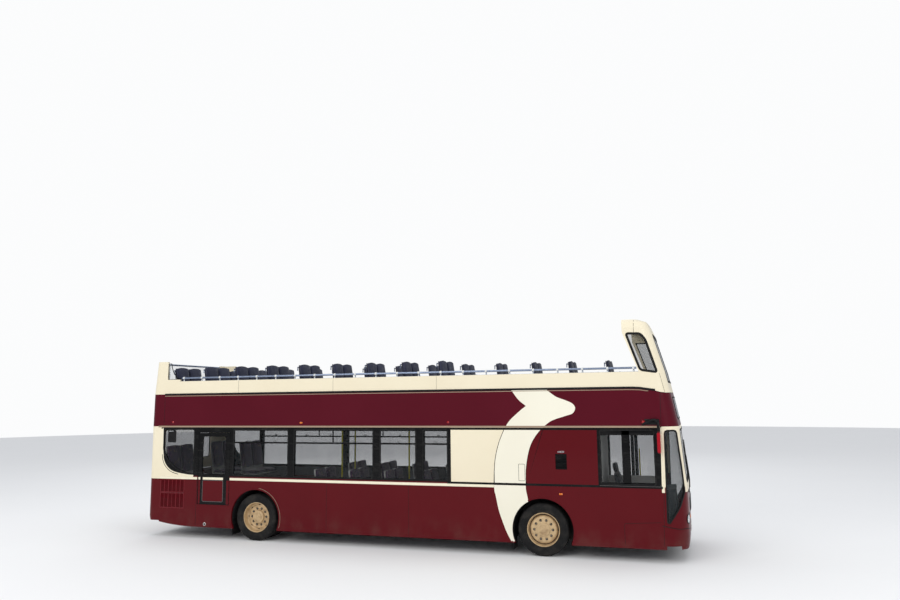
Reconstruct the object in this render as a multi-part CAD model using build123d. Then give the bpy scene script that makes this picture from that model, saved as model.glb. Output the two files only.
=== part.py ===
"""Open top double decker bus, modelled as separate pieces.

X runs forward, Y to the nearside, Z up from the ground, all in millimetres.
The origin lies on the ground in the middle of the length and of the width.
"""
from build123d import *
import math
import os

os.makedirs("parts", exist_ok=True)

# Whole body
LENGTH = 11120
WIDTH = 2550
WALL = 45
GLASS = 8
GLASS_INSET = 14
BULGE = 26
CORNER_RATIO = 0.84
REAR_CORNER = 140
HALF = WIDTH / 2
FRONT = LENGTH / 2
REAR = -LENGTH / 2

# Heights of the real seams between the panels
SKIRT_LOW = 230
BUMPER_TOP = 550
WAIST = 1270
BAND_LOW = 2300
BAND_TOP = 2985
SIDE_TOP = 3260
POST_TOP = 3690
DOME_TOP = 4205

# Where the sides meet the front and rear mouldings
REAR_SEAM = REAR + 210
FRONT_SEAM = FRONT - 410

# Axles and wheels
FRONT_OVERHANG = 2540
REAR_OVERHANG = 2650
AXLE_FRONT = FRONT - FRONT_OVERHANG
AXLE_REAR = REAR + REAR_OVERHANG
TYRE_RADIUS = 465
TYRE_WIDTH = 275
HUB_HEIGHT = TYRE_RADIUS
RIM_RADIUS = 299
RIM_WALL = 14
TRACK_Y = 1095
TWIN_PITCH = 318
KINGPIN_Y = 950
ARCH_RADIUS = 560
LINER = 6
LINER_INNER_Y = 612

# Floors
FLOOR_Z = 370
FLOOR_THICK = 40
REAR_FLOOR_Z = 800
UPPER_FLOOR_Z = 2480
UPPER_FLOOR_THICK = 60

# Stations that the tables of X positions are drawn for: rear end, rear axle, front axle, front end
DRAWN = (-5590, -2940, 2990, 5530)
PLACED = (REAR, AXLE_REAR, AXLE_FRONT, FRONT)


def along(x):
    """Place of a drawn X position: it keeps its share between the ends and the axles."""
    spans = list(zip(DRAWN, DRAWN[1:], PLACED, PLACED[1:]))
    for drawn_low, drawn_high, low, high in spans:
        if x <= drawn_high or drawn_high == DRAWN[-1]:
            return low + (x - drawn_low) * (high - low) / (drawn_high - drawn_low)


REAR_FLOOR_X = along(-1900)

# Body levels: height, nose X, length of the front corner, tail X, half width
LEVELS = (
    (SKIRT_LOW, FRONT - 30, 360, REAR + 40, HALF),
    (SKIRT_LOW + 190, FRONT - 4, 360, REAR, HALF),
    (WAIST - 270, FRONT, 360, REAR, HALF),
    (WAIST + 30, FRONT - 10, 360, REAR, HALF),
    (WAIST + 330, FRONT - 40, 360, REAR, HALF),
    (BAND_LOW, FRONT - 95, 340, REAR, HALF),
    (BAND_TOP, FRONT - 228, 290, REAR + 12, HALF),
    (SIDE_TOP, FRONT - 287, 260, REAR + 40, HALF),
    (DOME_TOP - 265, FRONT - 482, 230, REAR + 100, HALF),
    (DOME_TOP - 145, FRONT - 525, 220, REAR + 100, HALF - 6),
    (DOME_TOP - 55, FRONT - 565, 200, REAR + 100, HALF - 40),
    (DOME_TOP, FRONT - 700, 170, REAR + 100, HALF - 150),
)


def level(z):
    """Body level at any height, between the rows of the table."""
    for low, high in zip(LEVELS, LEVELS[1:]):
        if low[0] <= z <= high[0]:
            share = (z - low[0]) / (high[0] - low[0])
            return tuple(a + share * (b - a) for a, b in zip(low, high))
    raise ValueError(z)


def plan(z, inset=0.0, height=None):
    """Face of the body's plan at a level, set in from the outer skin."""
    _, nose, corner, tail, half = level(z)
    z = z if height is None else height
    side_x = nose - BULGE - corner
    turn = CORNER_RATIO * corner
    radius = (corner ** 2 + turn ** 2) / (2 * turn)
    scale = (radius - inset) / radius
    centre_y = half - radius
    end_x = side_x + corner * scale
    end_y = centre_y + (radius - turn) * scale
    angle = (math.pi / 2 + math.atan2(radius - turn, corner)) / 2
    mid_x = side_x + (radius - inset) * math.cos(angle)
    mid_y = centre_y + (radius - inset) * math.sin(angle)
    side_y = half - inset
    rear_r = REAR_CORNER - inset
    rear_x = tail + inset
    rear_cx = tail + REAR_CORNER
    rear_cy = half - REAR_CORNER
    slant = rear_r * math.sqrt(0.5)
    edges = [
        Line((rear_cx, -side_y, z), (side_x, -side_y, z)),
        ThreePointArc((side_x, -side_y, z), (mid_x, -mid_y, z), (end_x, -end_y, z)),
        ThreePointArc((end_x, -end_y, z), (nose - inset, 0, z), (end_x, end_y, z)),
        ThreePointArc((end_x, end_y, z), (mid_x, mid_y, z), (side_x, side_y, z)),
        Line((side_x, side_y, z), (rear_cx, side_y, z)),
        ThreePointArc((rear_cx, side_y, z), (rear_cx - slant, rear_cy + slant, z), (rear_x, rear_cy, z)),
        Line((rear_x, rear_cy, z), (rear_x, -rear_cy, z)),
        ThreePointArc((rear_x, -rear_cy, z), (rear_cx - slant, -rear_cy - slant, z), (rear_cx, -side_y, z)),
    ]
    return Face(Wire(edges))


def hull(low, high, inset=0.0):
    """Closed hull of the body between two heights."""
    heights = [low] + [row[0] for row in LEVELS if low < row[0] < high] + [high]
    return loft([plan(z, inset) for z in heights], ruled=True)


def skin(low, high, outer=0.0, inner=WALL):
    """Wall of the body between two heights and two insets."""
    return hull(low, high, outer) - hull(low, high, inner)


def block(x0, x1, y0, y1, z0, z1):
    """Box between two corners."""
    centre = ((x0 + x1) / 2, (y0 + y1) / 2, (z0 + z1) / 2)
    return Pos(*centre) * Box(abs(x1 - x0), abs(y1 - y0), abs(z1 - z0))


def side_prism(points, y0, y1):
    """Outline in X and Z, carried across from y0 to y1."""
    low, high = sorted((y0, y1))
    outline = Polyline(*[(x, low, z) for x, z in points], close=True)
    return extrude(make_face(outline), amount=high - low, dir=(0, 1, 0))


def side_window(x0, x1, z0, z1, radius, y0, y1):
    """Round-cornered opening in a side wall."""
    low, high = sorted((y0, y1))
    plane = Plane(origin=((x0 + x1) / 2, low, (z0 + z1) / 2), x_dir=(1, 0, 0), z_dir=(0, 1, 0))
    return extrude(plane * RectangleRounded(x1 - x0, z1 - z0, radius), amount=high - low)


def end_window(y0, y1, z0, z1, radius, x0, x1):
    """Round-cornered opening in a front or rear wall."""
    plane = Plane(origin=(x0, (y0 + y1) / 2, (z0 + z1) / 2), x_dir=(0, 1, 0), z_dir=(1, 0, 0))
    return extrude(plane * RectangleRounded(y1 - y0, z1 - z0, radius), amount=x1 - x0)


def rod(x, z, radius, y0, y1):
    """Round bar across the vehicle."""
    low, high = sorted((y0, y1))
    plane = Plane(origin=(x, low, z), x_dir=(1, 0, 0), z_dir=(0, 1, 0))
    return extrude(plane * Circle(radius), amount=high - low)


def post(x, y, radius, z0, z1):
    """Upright round bar."""
    return Pos(x, y, (z0 + z1) / 2) * Cylinder(radius, z1 - z0)


def save(shape, name):
    """Write one piece."""
    export_step(shape, "parts/" + name + ".step")


def group(solids):
    """Several solids of one piece that don't touch."""
    return Compound(children=list(solids))


# Doors
EMERGENCY = (along(-4340), along(-3560), 690, BAND_LOW - 130)
ENTRANCE = (along(3900), along(5040), FLOOR_Z - FLOOR_THICK, BAND_LOW - 50)
DOOR_GAP = 6
DOOR_THICK = 38
PIVOT_RADIUS = 8
PIVOT_DEPTH = 22
RUNNING = 0.05

# Windows: rear X, front X
WINDOW_LOW = WAIST + 30
WINDOW_HIGH = BAND_LOW - 60
WINDOW_RADIUS = 40
OFFSIDE_DRAWN = ((-3480, -2200), (-2060, -320), (-170, 570), (720, 1210), (4060, 4990))
NEARSIDE_DRAWN = ((-4340, -3640), (-3480, -2200), (-2060, -320), (-170, 1210), (1360, 2650), (2800, 3780))
OFFSIDE_WINDOWS = [(along(x0), along(x1)) for x0, x1 in OFFSIDE_DRAWN]
NEARSIDE_WINDOWS = [(along(x0), along(x1)) for x0, x1 in NEARSIDE_DRAWN]

# Rear quarter window outline: X, height over the window sill
QUARTER_DRAWN = ((-5230, 940), (-4450, 940), (-4450, 0), (-4600, 10), (-4900, 120), (-5110, 290), (-5230, 500))
QUARTER = [(along(x), WINDOW_LOW + z) for x, z in QUARTER_DRAWN]

# Corner screen beside the windscreen: X, Z
CORNER_SCREEN = (
    (FRONT - 360, BAND_LOW - 70), (FRONT - 165, BAND_LOW - 70), (FRONT - 135, WAIST + 630), (FRONT - 105, WAIST + 330),
    (FRONT - 75, WAIST - 90), (FRONT - 165, WAIST - 340), (FRONT - 270, WAIST - 490), (FRONT - 345, WAIST - 600),
    (FRONT - 375, WAIST - 590))

# Windscreen and upper screen
SCREEN_HALF = 900
SCREEN_LOW = WAIST + 60
SCREEN_HIGH = BAND_LOW - 75
UPPER_SCREEN_LOW = BAND_TOP + 95
UPPER_SCREEN_HIGH = DOME_TOP - 275
UPPER_SCREEN_HALF = 960

# Dome side window outline and dome rear edge: X, Z
DOME_REAR = FRONT - 750
DOME_ROOF = FRONT - 1020
DOME_WINDOW = (
    (DOME_ROOF + 75, DOME_TOP - 260), (DOME_ROOF + 325, DOME_TOP - 270), (DOME_ROOF + 410, DOME_TOP - 375),
    (DOME_REAR + 315, SIDE_TOP - 15), (DOME_REAR + 30, SIDE_TOP + 30))
DOME_EDGE = ((DOME_ROOF, DOME_TOP + 195), (DOME_ROOF, DOME_TOP), (DOME_ROOF + 10, DOME_TOP - 245),
             (DOME_REAR, SIDE_TOP), (DOME_REAR, BAND_TOP + 15))

# Seam under the cream front: it dips from the foot of the dome round the front corner. X, Z
SEAM_DIP = ((DOME_REAR, BAND_TOP), (FRONT - 600, BAND_TOP - 35), (FRONT - 485, BAND_TOP - 63),
            (FRONT - 400, BAND_TOP - 88), (FRONT - 290, BAND_TOP - 100), (FRONT + 200, BAND_TOP - 105))

# Rail of the top vents in the side windows, and a recess for each louvre panel and the side vent
VENT_Z = BAND_LOW - 330
VENT_HALF = 16
VENT_POST = 12
LOUVRES = (along(-5262), along(-4670))
LOUVRE_ROWS = ((600, 905), (925, WAIST - 80))
LOUVRE_DEEP = 6
SIDE_VENT = (along(3255), along(3460), WAIST + 270, WAIST + 545)
SIDE_VENT_DEEP = 20

# Gutter and arch lips stand proud of the side
GUTTER_OUT = 12
GUTTER_X = (REAR + 350, FRONT - 540)
LIP_WIDE = 28
LIP_OUT = 5

# Rear end
LID_HALF = 900
LID_LOW = 430
LID_HIGH = WAIST - 20
LID_GAP = 8
LID_THICK = 38
REAR_WINDOW_HALF = 820
REAR_WINDOW_LOW = 1500
REAR_WINDOW_HIGH = 2200
UPPER_POST_X = REAR + 400
NOTCH_X = REAR + 720
UPPER_REAR_Z = SIDE_TOP + 40

SIDE_OUT = HALF + 60
SIDE_IN = HALF - 200


def side_of(sign, x0, x1, z0, z1):
    """Region that holds one side wall: sign is -1 offside, +1 nearside."""
    return block(x0, x1, sign * SIDE_IN, sign * SIDE_OUT, z0, z1)


def door_opening(door, sign, grow=0.0):
    """Prism through the wall at a door."""
    x0, x1, z0, z1 = door
    return block(x0 - grow, x1 + grow, sign * SIDE_IN, sign * SIDE_OUT, z0 - grow, z1 + grow)


def arch(x, sign):
    """Wheel arch opening in a side wall."""
    return rod(x, HUB_HEIGHT, ARCH_RADIUS, sign * SIDE_IN, sign * SIDE_OUT)


def pivot_pin(x, y, z0, z1):
    """Upright pin of the body that a door leaf turns on."""
    return post(x, y, PIVOT_RADIUS, min(z0, z1), max(z0, z1))


def cut_windows(wall, windows, sign):
    """Cut the side windows out of a wall."""
    for x0, x1 in windows:
        wall -= side_window(x0, x1, WINDOW_LOW, WINDOW_HIGH, WINDOW_RADIUS, sign * SIDE_IN, sign * SIDE_OUT)
    return wall


def vent_rails(wall, windows, sign):
    """Rail across each saloon window below its top vents, and a post between two vents."""
    outer, inner = sign * (HALF - 1.5), sign * (HALF - GLASS_INSET + 0.5)
    for x0, x1 in windows:
        wall += block(x0 - 5, x1 + 5, outer, inner, VENT_Z - VENT_HALF, VENT_Z + VENT_HALF)
        if x1 - x0 > 900:
            middle = (x0 + x1) / 2
            wall += block(middle - VENT_POST, middle + VENT_POST, outer, inner, VENT_Z, WINDOW_HIGH + 5)
    return wall


# Lamps: front clusters and rear columns, let into the panels
# Front: Y, depth of the back face from the nose, depth of the lens
HEADLAMPS = ((1000, 130, 14), (830, 130, 14))
HEADLAMP_Z = 720
HEADLAMP_RADIUS = 75
REAR_LAMP_Y = 1050
REAR_LAMP_RADIUS = 55
REAR_LAMP_HEIGHTS = (700, 860, 1020)
lamps = []
for sign in (-1, 1):
    for y, back, lens in HEADLAMPS:
        lamps.append(extrude(
            Plane(origin=(FRONT - back, sign * y, HEADLAMP_Z), z_dir=(1, 0, 0)) * Circle(HEADLAMP_RADIUS),
            amount=back - lens - BULGE))
    for z in REAR_LAMP_HEIGHTS:
        lamps.append(extrude(
            Plane(origin=(REAR + 2, sign * REAR_LAMP_Y, z), z_dir=(1, 0, 0)) * Circle(REAR_LAMP_RADIUS), amount=40))
save(group(lamps), "lamps")

# Lower walls
skirt_ring = skin(SKIRT_LOW, WAIST)
window_ring = skin(WAIST, BAND_LOW)
quarter_cut = side_prism(QUARTER, -SIDE_OUT, SIDE_OUT)
corner_cut = group([side_prism(CORNER_SCREEN, s * 930, s * SIDE_OUT) for s in (-1, 1)])
skirt_rear = REAR_SEAM + 100
PIVOT_Y = HALF - DOOR_THICK / 2
EMERGENCY_PIVOT = EMERGENCY[1] - DOOR_GAP - DOOR_THICK / 2
ENTRANCE_PIVOTS = (ENTRANCE[0] + DOOR_GAP + DOOR_THICK / 2, ENTRANCE[1] - DOOR_GAP - DOOR_THICK / 2)
side_doors = ((-1, "offside", EMERGENCY, (EMERGENCY_PIVOT,)), (1, "nearside", ENTRANCE, ENTRANCE_PIVOTS))
for sign, name, door, pivots in side_doors:
    skirt = skirt_ring & side_of(sign, skirt_rear, FRONT_SEAM, 0, WAIST)
    skirt -= arch(AXLE_REAR, sign)
    skirt -= arch(AXLE_FRONT, sign)
    frame = window_ring & side_of(sign, skirt_rear, FRONT_SEAM, WAIST, BAND_LOW)
    windows = OFFSIDE_WINDOWS if sign < 0 else NEARSIDE_WINDOWS
    frame = cut_windows(frame, windows, sign)
    frame = vent_rails(frame, windows[:4] if sign < 0 else windows, sign)
    frame -= quarter_cut
    if sign < 0:
        frame -= block(*SIDE_VENT[:2], -HALF + SIDE_VENT_DEEP, -SIDE_OUT, *SIDE_VENT[2:])
    for z0, z1 in LOUVRE_ROWS:
        skirt -= block(*LOUVRES, sign * (HALF - LOUVRE_DEEP), sign * SIDE_OUT, z0, z1)
    skirt -= door_opening(door, sign)
    frame -= door_opening(door, sign)
    for pivot in pivots:
        skirt += pivot_pin(pivot, sign * PIVOT_Y, door[2], door[2] + DOOR_GAP + PIVOT_DEPTH - 2)
        frame += pivot_pin(pivot, sign * PIVOT_Y, door[3], door[3] - DOOR_GAP - PIVOT_DEPTH + 2)
    save(skirt, "skirt_" + name)
    save(frame, "window_frame_" + name)

# Band between the decks and the upper side panels
band_ring = skin(BAND_LOW, BAND_TOP)
dip_zone = side_prism(SEAM_DIP + ((FRONT + 200, BAND_TOP + 100), (DOME_REAR, BAND_TOP + 100)), -SIDE_OUT, SIDE_OUT)
deck_bands = [(band_ring & side_of(s, REAR_SEAM, FRONT_SEAM, BAND_LOW, BAND_TOP)) - dip_zone for s in (-1, 1)]
save(group(deck_bands), "deck_band")
upper_ring = skin(BAND_TOP, SIDE_TOP)
upper_sides = [upper_ring & side_of(s, NOTCH_X, DOME_REAR, BAND_TOP, SIDE_TOP) for s in (-1, 1)]
save(group(upper_sides), "upper_panels")

# Front: lower panel, screen frame, band and dome
front_zone = block(FRONT_SEAM, FRONT + 200, -SIDE_OUT, SIDE_OUT, 0, 5000)
front_panel = (skirt_ring & front_zone) - corner_cut
front_panel -= block(FRONT_SEAM - 10, FRONT - 170, -SIDE_OUT, SIDE_OUT, 0, 290)
for lamp in lamps:
    front_panel -= lamp
save(front_panel, "front_lower_panel")
screen_hole = end_window(-SCREEN_HALF, SCREEN_HALF, SCREEN_LOW, SCREEN_HIGH, 60, FRONT - 330, FRONT + 100)
screen_frame = (window_ring & front_zone) - corner_cut - screen_hole
save(screen_frame, "front_screen_frame")
front_band = (band_ring & front_zone) - dip_zone
save(front_band, "front_band")

dome_zone = side_prism([(p[0], p[1]) for p in DOME_EDGE] + [
    (FRONT + 210, BAND_TOP + 15), (FRONT + 210, DOME_TOP + 195)], -SIDE_OUT, SIDE_OUT)
dome_low = skin(BAND_TOP, SIDE_TOP) & block(DOME_REAR, FRONT, -SIDE_OUT, SIDE_OUT, BAND_TOP, SIDE_TOP)
dome_inner_top = DOME_TOP - WALL
dome_outer = hull(SIDE_TOP, DOME_TOP)
dome_inner = loft([plan(z, WALL) for z in (SIDE_TOP, DOME_TOP - 265, DOME_TOP - 145, dome_inner_top)], ruled=True)
dome_high = (dome_outer - dome_inner) & dome_zone
dome = dome_low + (band_ring & dip_zone) + dome_high
upper_hole = end_window(
    -UPPER_SCREEN_HALF, UPPER_SCREEN_HALF, UPPER_SCREEN_LOW, UPPER_SCREEN_HIGH, 90, FRONT - 830, FRONT)
dome_window_cut = side_prism(DOME_WINDOW, -SIDE_OUT, SIDE_OUT)
dome = dome - upper_hole - dome_window_cut
save(dome, "front_dome")

# Gutters along the seam above the band, and rolled lips round the wheel arches
gutter_line = [(GUTTER_X[0], BAND_TOP + 15), (DOME_REAR - 150, BAND_TOP + 15), (DOME_REAR, BAND_TOP + 12),
               (FRONT - 600, BAND_TOP - 18), (GUTTER_X[1], BAND_TOP - 33), (GUTTER_X[1], BAND_TOP - 65),
               (FRONT - 600, BAND_TOP - 52), (DOME_REAR, BAND_TOP - 22), (GUTTER_X[0], BAND_TOP - 22)]
save(group([side_prism(gutter_line, s * HALF, s * (HALF + GUTTER_OUT)) for s in (-1, 1)]), "gutters")
lips = []
for sign in (-1, 1):
    for x in (AXLE_FRONT, AXLE_REAR):
        lip = rod(x, HUB_HEIGHT, ARCH_RADIUS + LIP_WIDE, sign * HALF, sign * (HALF + LIP_OUT))
        lip -= rod(x, HUB_HEIGHT, ARCH_RADIUS, sign * SIDE_IN, sign * SIDE_OUT)
        lips.append(lip - block(x - 700, x + 700, sign * SIDE_IN, sign * SIDE_OUT, -400, SKIRT_LOW + 15))
save(group(lips), "arch_lips")

# Glass: thin skins that fill the openings, held in the walls
pane_low = skin(WAIST - 650, BAND_LOW - 70, GLASS_INSET, GLASS_INSET + GLASS)
screen_pane = pane_low & screen_hole
corner_panes = [pane_low & side_prism(CORNER_SCREEN, s * 930, s * SIDE_OUT) for s in (-1, 1)]
pane_high = skin(BAND_TOP + 15, DOME_TOP - 205, GLASS_INSET, GLASS_INSET + GLASS)
upper_pane = pane_high & upper_hole
dome_panes = [pane_high & side_prism(DOME_WINDOW, s * SIDE_IN, s * SIDE_OUT) for s in (-1, 1)]
save(group([screen_pane, upper_pane] + corner_panes + dome_panes), "front_glass")

side_panes = []
for sign, windows in ((-1, OFFSIDE_WINDOWS), (1, NEARSIDE_WINDOWS)):
    y0 = sign * (HALF - GLASS_INSET)
    y1 = sign * (HALF - GLASS_INSET - GLASS)
    for x0, x1 in windows:
        side_panes.append(side_window(x0, x1, WINDOW_LOW, WINDOW_HIGH, WINDOW_RADIUS, min(y0, y1), max(y0, y1)))
    side_panes.append(side_prism(QUARTER, y0, y1))
rear_pane_x = REAR + GLASS_INSET
side_panes.append(end_window(
    -REAR_WINDOW_HALF, REAR_WINDOW_HALF, REAR_WINDOW_LOW, REAR_WINDOW_HIGH, 60, rear_pane_x, rear_pane_x + GLASS))
save(group(side_panes), "saloon_glass")

# Rear: lower body with lid opening, window surround, band and upper moulding
rear_zone = block(REAR - 200, skirt_rear, -SIDE_OUT, SIDE_OUT, 0, WAIST)
rear_wall = skin(SKIRT_LOW + 100, WAIST) & rear_zone
window_zone = block(REAR - 200, skirt_rear, -SIDE_OUT, SIDE_OUT, WAIST, BAND_LOW)
rear_surround = (window_ring & window_zone) - quarter_cut
lid_hole_half = LID_HALF + LID_GAP
rear_wall -= block(REAR - 200, REAR + 200, -lid_hole_half, lid_hole_half, LID_LOW - LID_GAP, LID_HIGH + LID_GAP)
LID_AXIS = (REAR + 2 + LID_THICK / 2, LID_HIGH - LID_THICK / 2)
for sign in (-1, 1):
    rear_wall += rod(*LID_AXIS, PIVOT_RADIUS, sign * lid_hole_half, sign * (LID_HALF - PIVOT_DEPTH + 2))
rear_surround -= end_window(
    -REAR_WINDOW_HALF, REAR_WINDOW_HALF, REAR_WINDOW_LOW, REAR_WINDOW_HIGH, 60, REAR - 50, REAR + 200)
for lamp in lamps:
    rear_wall -= lamp
save(rear_wall, "rear_lower_panel")
save(rear_surround, "rear_window_frame")
rear_band = skin(BAND_LOW, BAND_TOP) & block(REAR - 200, REAR_SEAM, -SIDE_OUT, SIDE_OUT, BAND_LOW, BAND_TOP)
rear_cap = skin(BAND_TOP, UPPER_REAR_Z) & block(REAR - 200, NOTCH_X, -SIDE_OUT, SIDE_OUT, BAND_TOP, 4000)
rear_posts = skin(UPPER_REAR_Z, POST_TOP) & block(REAR - 200, UPPER_POST_X, -SIDE_OUT, SIDE_OUT, 3000, 4000)
rear_posts -= block(REAR - 200, 0, -HALF + 260, HALF - 260, UPPER_REAR_Z, 4000)
save(rear_band, "rear_band")
save(rear_cap + rear_posts, "rear_upper_panel")
lid = block(REAR + 2, REAR + 2 + LID_THICK, -LID_HALF, LID_HALF, LID_LOW, LID_AXIS[1])
lid += rod(*LID_AXIS, LID_THICK / 2, -LID_HALF, LID_HALF)
for sign in (-1, 1):
    lid -= rod(*LID_AXIS, PIVOT_RADIUS + RUNNING, sign * (LID_HALF + 1), sign * (LID_HALF - PIVOT_DEPTH))
save(lid, "engine_lid")

# Clear screens on the upper deck
REAR_RAIL = (REAR + 95, POST_TOP - 40)
screen_rear = block(REAR + 70, REAR + 70 + GLASS, -HALF + 260, HALF - 260, UPPER_REAR_Z, REAR_RAIL[1])
side_screen = ((UPPER_POST_X, UPPER_REAR_Z), (NOTCH_X, UPPER_REAR_Z), (NOTCH_X - 90, UPPER_REAR_Z + 30),
               (NOTCH_X - 180, UPPER_REAR_Z + 140), (NOTCH_X - 230, UPPER_REAR_Z + 260),
               (NOTCH_X - 250, POST_TOP - 40), (UPPER_POST_X, POST_TOP - 40))
screens = [side_prism(side_screen, s * (HALF - 26), s * (HALF - 26 + GLASS)) for s in (-1, 1)]

# Rails round the upper deck: a tube on stubs
RAIL_RADIUS = 19
RAIL_Z = SIDE_TOP + 70
RAIL_Y = HALF - WALL / 2
RAIL_STUBS = 22
rails = []
for sign in (-1, 1):
    tube = Plane(origin=(NOTCH_X + 40, sign * RAIL_Y, RAIL_Z), z_dir=(1, 0, 0)) * Circle(RAIL_RADIUS)
    rail = extrude(tube, amount=DOME_REAR - 35 - NOTCH_X - 40)
    for i in range(RAIL_STUBS):
        x = NOTCH_X + 90 + i * (DOME_REAR - 80 - NOTCH_X - 90) / (RAIL_STUBS - 1)
        rail += post(x, sign * RAIL_Y, 11, SIDE_TOP, RAIL_Z)
    rails.append(rail)
rear_rail = rod(*REAR_RAIL, RAIL_RADIUS, -HALF + 260, HALF - 260)
rails.append(rear_rail)
save(group(rails), "upper_rails")
save(group([screen_rear - rear_rail] + screens), "upper_screens")

# Floors
inside = WALL
floor_half = HALF - inside
STAIR_X0 = along(1840)
STAIR_X1 = along(3960)
STAIR_Y = -620
WHEEL_BOX_F = (AXLE_FRONT - ARCH_RADIUS - LINER, AXLE_FRONT + ARCH_RADIUS + LINER)
WHEEL_BOX_R = (AXLE_REAR - ARCH_RADIUS - LINER, AXLE_REAR + ARCH_RADIUS + LINER)
low_floor = extrude(plan(FLOOR_Z - FLOOR_THICK, WALL), amount=FLOOR_THICK)
low_floor &= block(REAR_FLOOR_X, FRONT - 60, -SIDE_OUT, SIDE_OUT, 0, 1000)
high_floor = extrude(plan(WAIST, WALL, height=REAR_FLOOR_Z - FLOOR_THICK), amount=FLOOR_THICK)
high_floor &= block(REAR, REAR_FLOOR_X - FLOOR_THICK, -SIDE_OUT, SIDE_OUT, 0, 1000)
riser = block(REAR_FLOOR_X - FLOOR_THICK, REAR_FLOOR_X, -floor_half, floor_half, FLOOR_Z - FLOOR_THICK, REAR_FLOOR_Z)
mid_step = block(REAR_FLOOR_X, REAR_FLOOR_X + 300, -300, 300, FLOOR_Z, (FLOOR_Z + REAR_FLOOR_Z) / 2)
save(riser + mid_step, "gangway_step")
for sign in (-1, 1):
    for x0, x1 in (WHEEL_BOX_F, WHEEL_BOX_R):
        inner_y = LINER_INNER_Y - LINER if x0 > 0 else LINER_INNER_Y - 40 - LINER
        well = block(x0, x1, sign * inner_y, sign * SIDE_OUT, 0, HUB_HEIGHT + ARCH_RADIUS + 25)
        low_floor -= well
        high_floor -= well
save(group([low_floor, high_floor]), "lower_floor")

upper_floor = extrude(plan(UPPER_FLOOR_Z, WALL, height=UPPER_FLOOR_Z - UPPER_FLOOR_THICK), amount=UPPER_FLOOR_THICK)
upper_floor &= block(REAR, FRONT + 10, -SIDE_OUT, SIDE_OUT, 0, 3000)
upper_floor -= block(STAIR_X0 + 250, STAIR_X1, -SIDE_OUT, STAIR_Y, 2000, 3000)
save(upper_floor, "upper_floor")

# Wheel arch liners: half tubes with an inner wall
liners = []
for x in (AXLE_FRONT, AXLE_REAR):
    inner_y = LINER_INNER_Y if x > 0 else LINER_INNER_Y - 40
    for sign in (-1, 1):
        y0 = sign * inner_y
        y1 = sign * (HALF - WALL)
        tube = rod(x, HUB_HEIGHT, ARCH_RADIUS + LINER, y0, y1) - rod(x, HUB_HEIGHT, ARCH_RADIUS, y0, y1)
        wall = rod(x, HUB_HEIGHT, ARCH_RADIUS + LINER, y0, y0 - sign * LINER)
        if x < 0:
            wall -= block(x - ARCH_RADIUS / 4, x + ARCH_RADIUS / 4, -SIDE_OUT, SIDE_OUT, 0, HUB_HEIGHT + 150)
        else:
            wall -= block(x - ARCH_RADIUS / 2, x + ARCH_RADIUS / 2, -SIDE_OUT, SIDE_OUT, 0, HUB_HEIGHT + 150)
        reach = ARCH_RADIUS + 2 * LINER
        liner = (tube + wall) & block(x - reach, x + reach, -SIDE_OUT, SIDE_OUT, FLOOR_Z - 60, HUB_HEIGHT + reach)
        liners.append(liner)
save(group(liners), "wheel_arches")

# Staircase: turned start, landing beside the wheel arch, straight flight forward
STEP_RISE = 217
START_RISE = (UPPER_FLOOR_Z - FLOOR_Z) / 10
FLIGHT_GOING = 262
LANDING_X = (STAIR_X0, WHEEL_BOX_F[0] - 24)
landing_z = FLOOR_Z + 3 * START_RISE
stair_wall_y = -(HALF - WALL) + 2
steps = block(*LANDING_X, STAIR_Y + 300, STAIR_Y + 150, FLOOR_Z, FLOOR_Z + START_RISE)
steps += block(*LANDING_X, STAIR_Y + 150, STAIR_Y, FLOOR_Z, FLOOR_Z + 2 * START_RISE)
steps += block(*LANDING_X, STAIR_Y, stair_wall_y, FLOOR_Z, landing_z)
flight = []
x = LANDING_X[1]
z = landing_z
flight.append((x, z))
for i in range(6):
    z += START_RISE
    flight.append((x, z))
    x += (STAIR_X1 - LANDING_X[1]) / 6
    flight.append((x, z))
flight.append((STAIR_X1, z - 190))
flight.append((LANDING_X[1] + 120, landing_z + START_RISE - 180))
flight.append((LANDING_X[1], landing_z + START_RISE - 230))
steps += side_prism(flight, STAIR_Y, stair_wall_y)
save(steps, "staircase")

# Chassis: two rails that rise over the rear axle, with cross members
RAIL_HALF = 430
CHASSIS_RAIL = 70
RAIL_LOW = 205
RAIL_DEEP = FLOOR_Z - FLOOR_THICK - RAIL_LOW
KICK_Z = REAR_FLOOR_Z - FLOOR_THICK - RAIL_DEEP
KICK_X = (REAR_FLOOR_X - 45, REAR_FLOOR_X - 260)
KICK_UNDER_X = (REAR_FLOOR_X - 150, REAR_FLOOR_X - 400)
RAIL_ENDS = (FRONT - 380, REAR + 210)
kick = ((RAIL_ENDS[0], RAIL_LOW), (RAIL_ENDS[0], RAIL_LOW + RAIL_DEEP), (KICK_X[0], RAIL_LOW + RAIL_DEEP),
        (KICK_X[1], KICK_Z + RAIL_DEEP), (RAIL_ENDS[1], KICK_Z + RAIL_DEEP), (RAIL_ENDS[1], KICK_Z),
        (KICK_UNDER_X[1], KICK_Z), (KICK_UNDER_X[0], RAIL_LOW))
rails = [side_prism(kick, s * RAIL_HALF, s * (RAIL_HALF + CHASSIS_RAIL)) for s in (-1, 1)]
TOW_EYE = (FRONT - 290, -RAIL_HALF - CHASSIS_RAIL / 2, RAIL_LOW + 60)
TOW_PLATE = 25
TOW_HOLE = 25
rails[0] += block(
    RAIL_ENDS[0] - 50, TOW_EYE[0] + 60, TOW_EYE[1] - TOW_PLATE / 2, TOW_EYE[1] + TOW_PLATE / 2, RAIL_LOW, RAIL_LOW + RAIL_DEEP)
rails[0] -= rod(TOW_EYE[0], TOW_EYE[2], TOW_HOLE, TOW_EYE[1] - TOW_PLATE, TOW_EYE[1] + TOW_PLATE)

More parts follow.
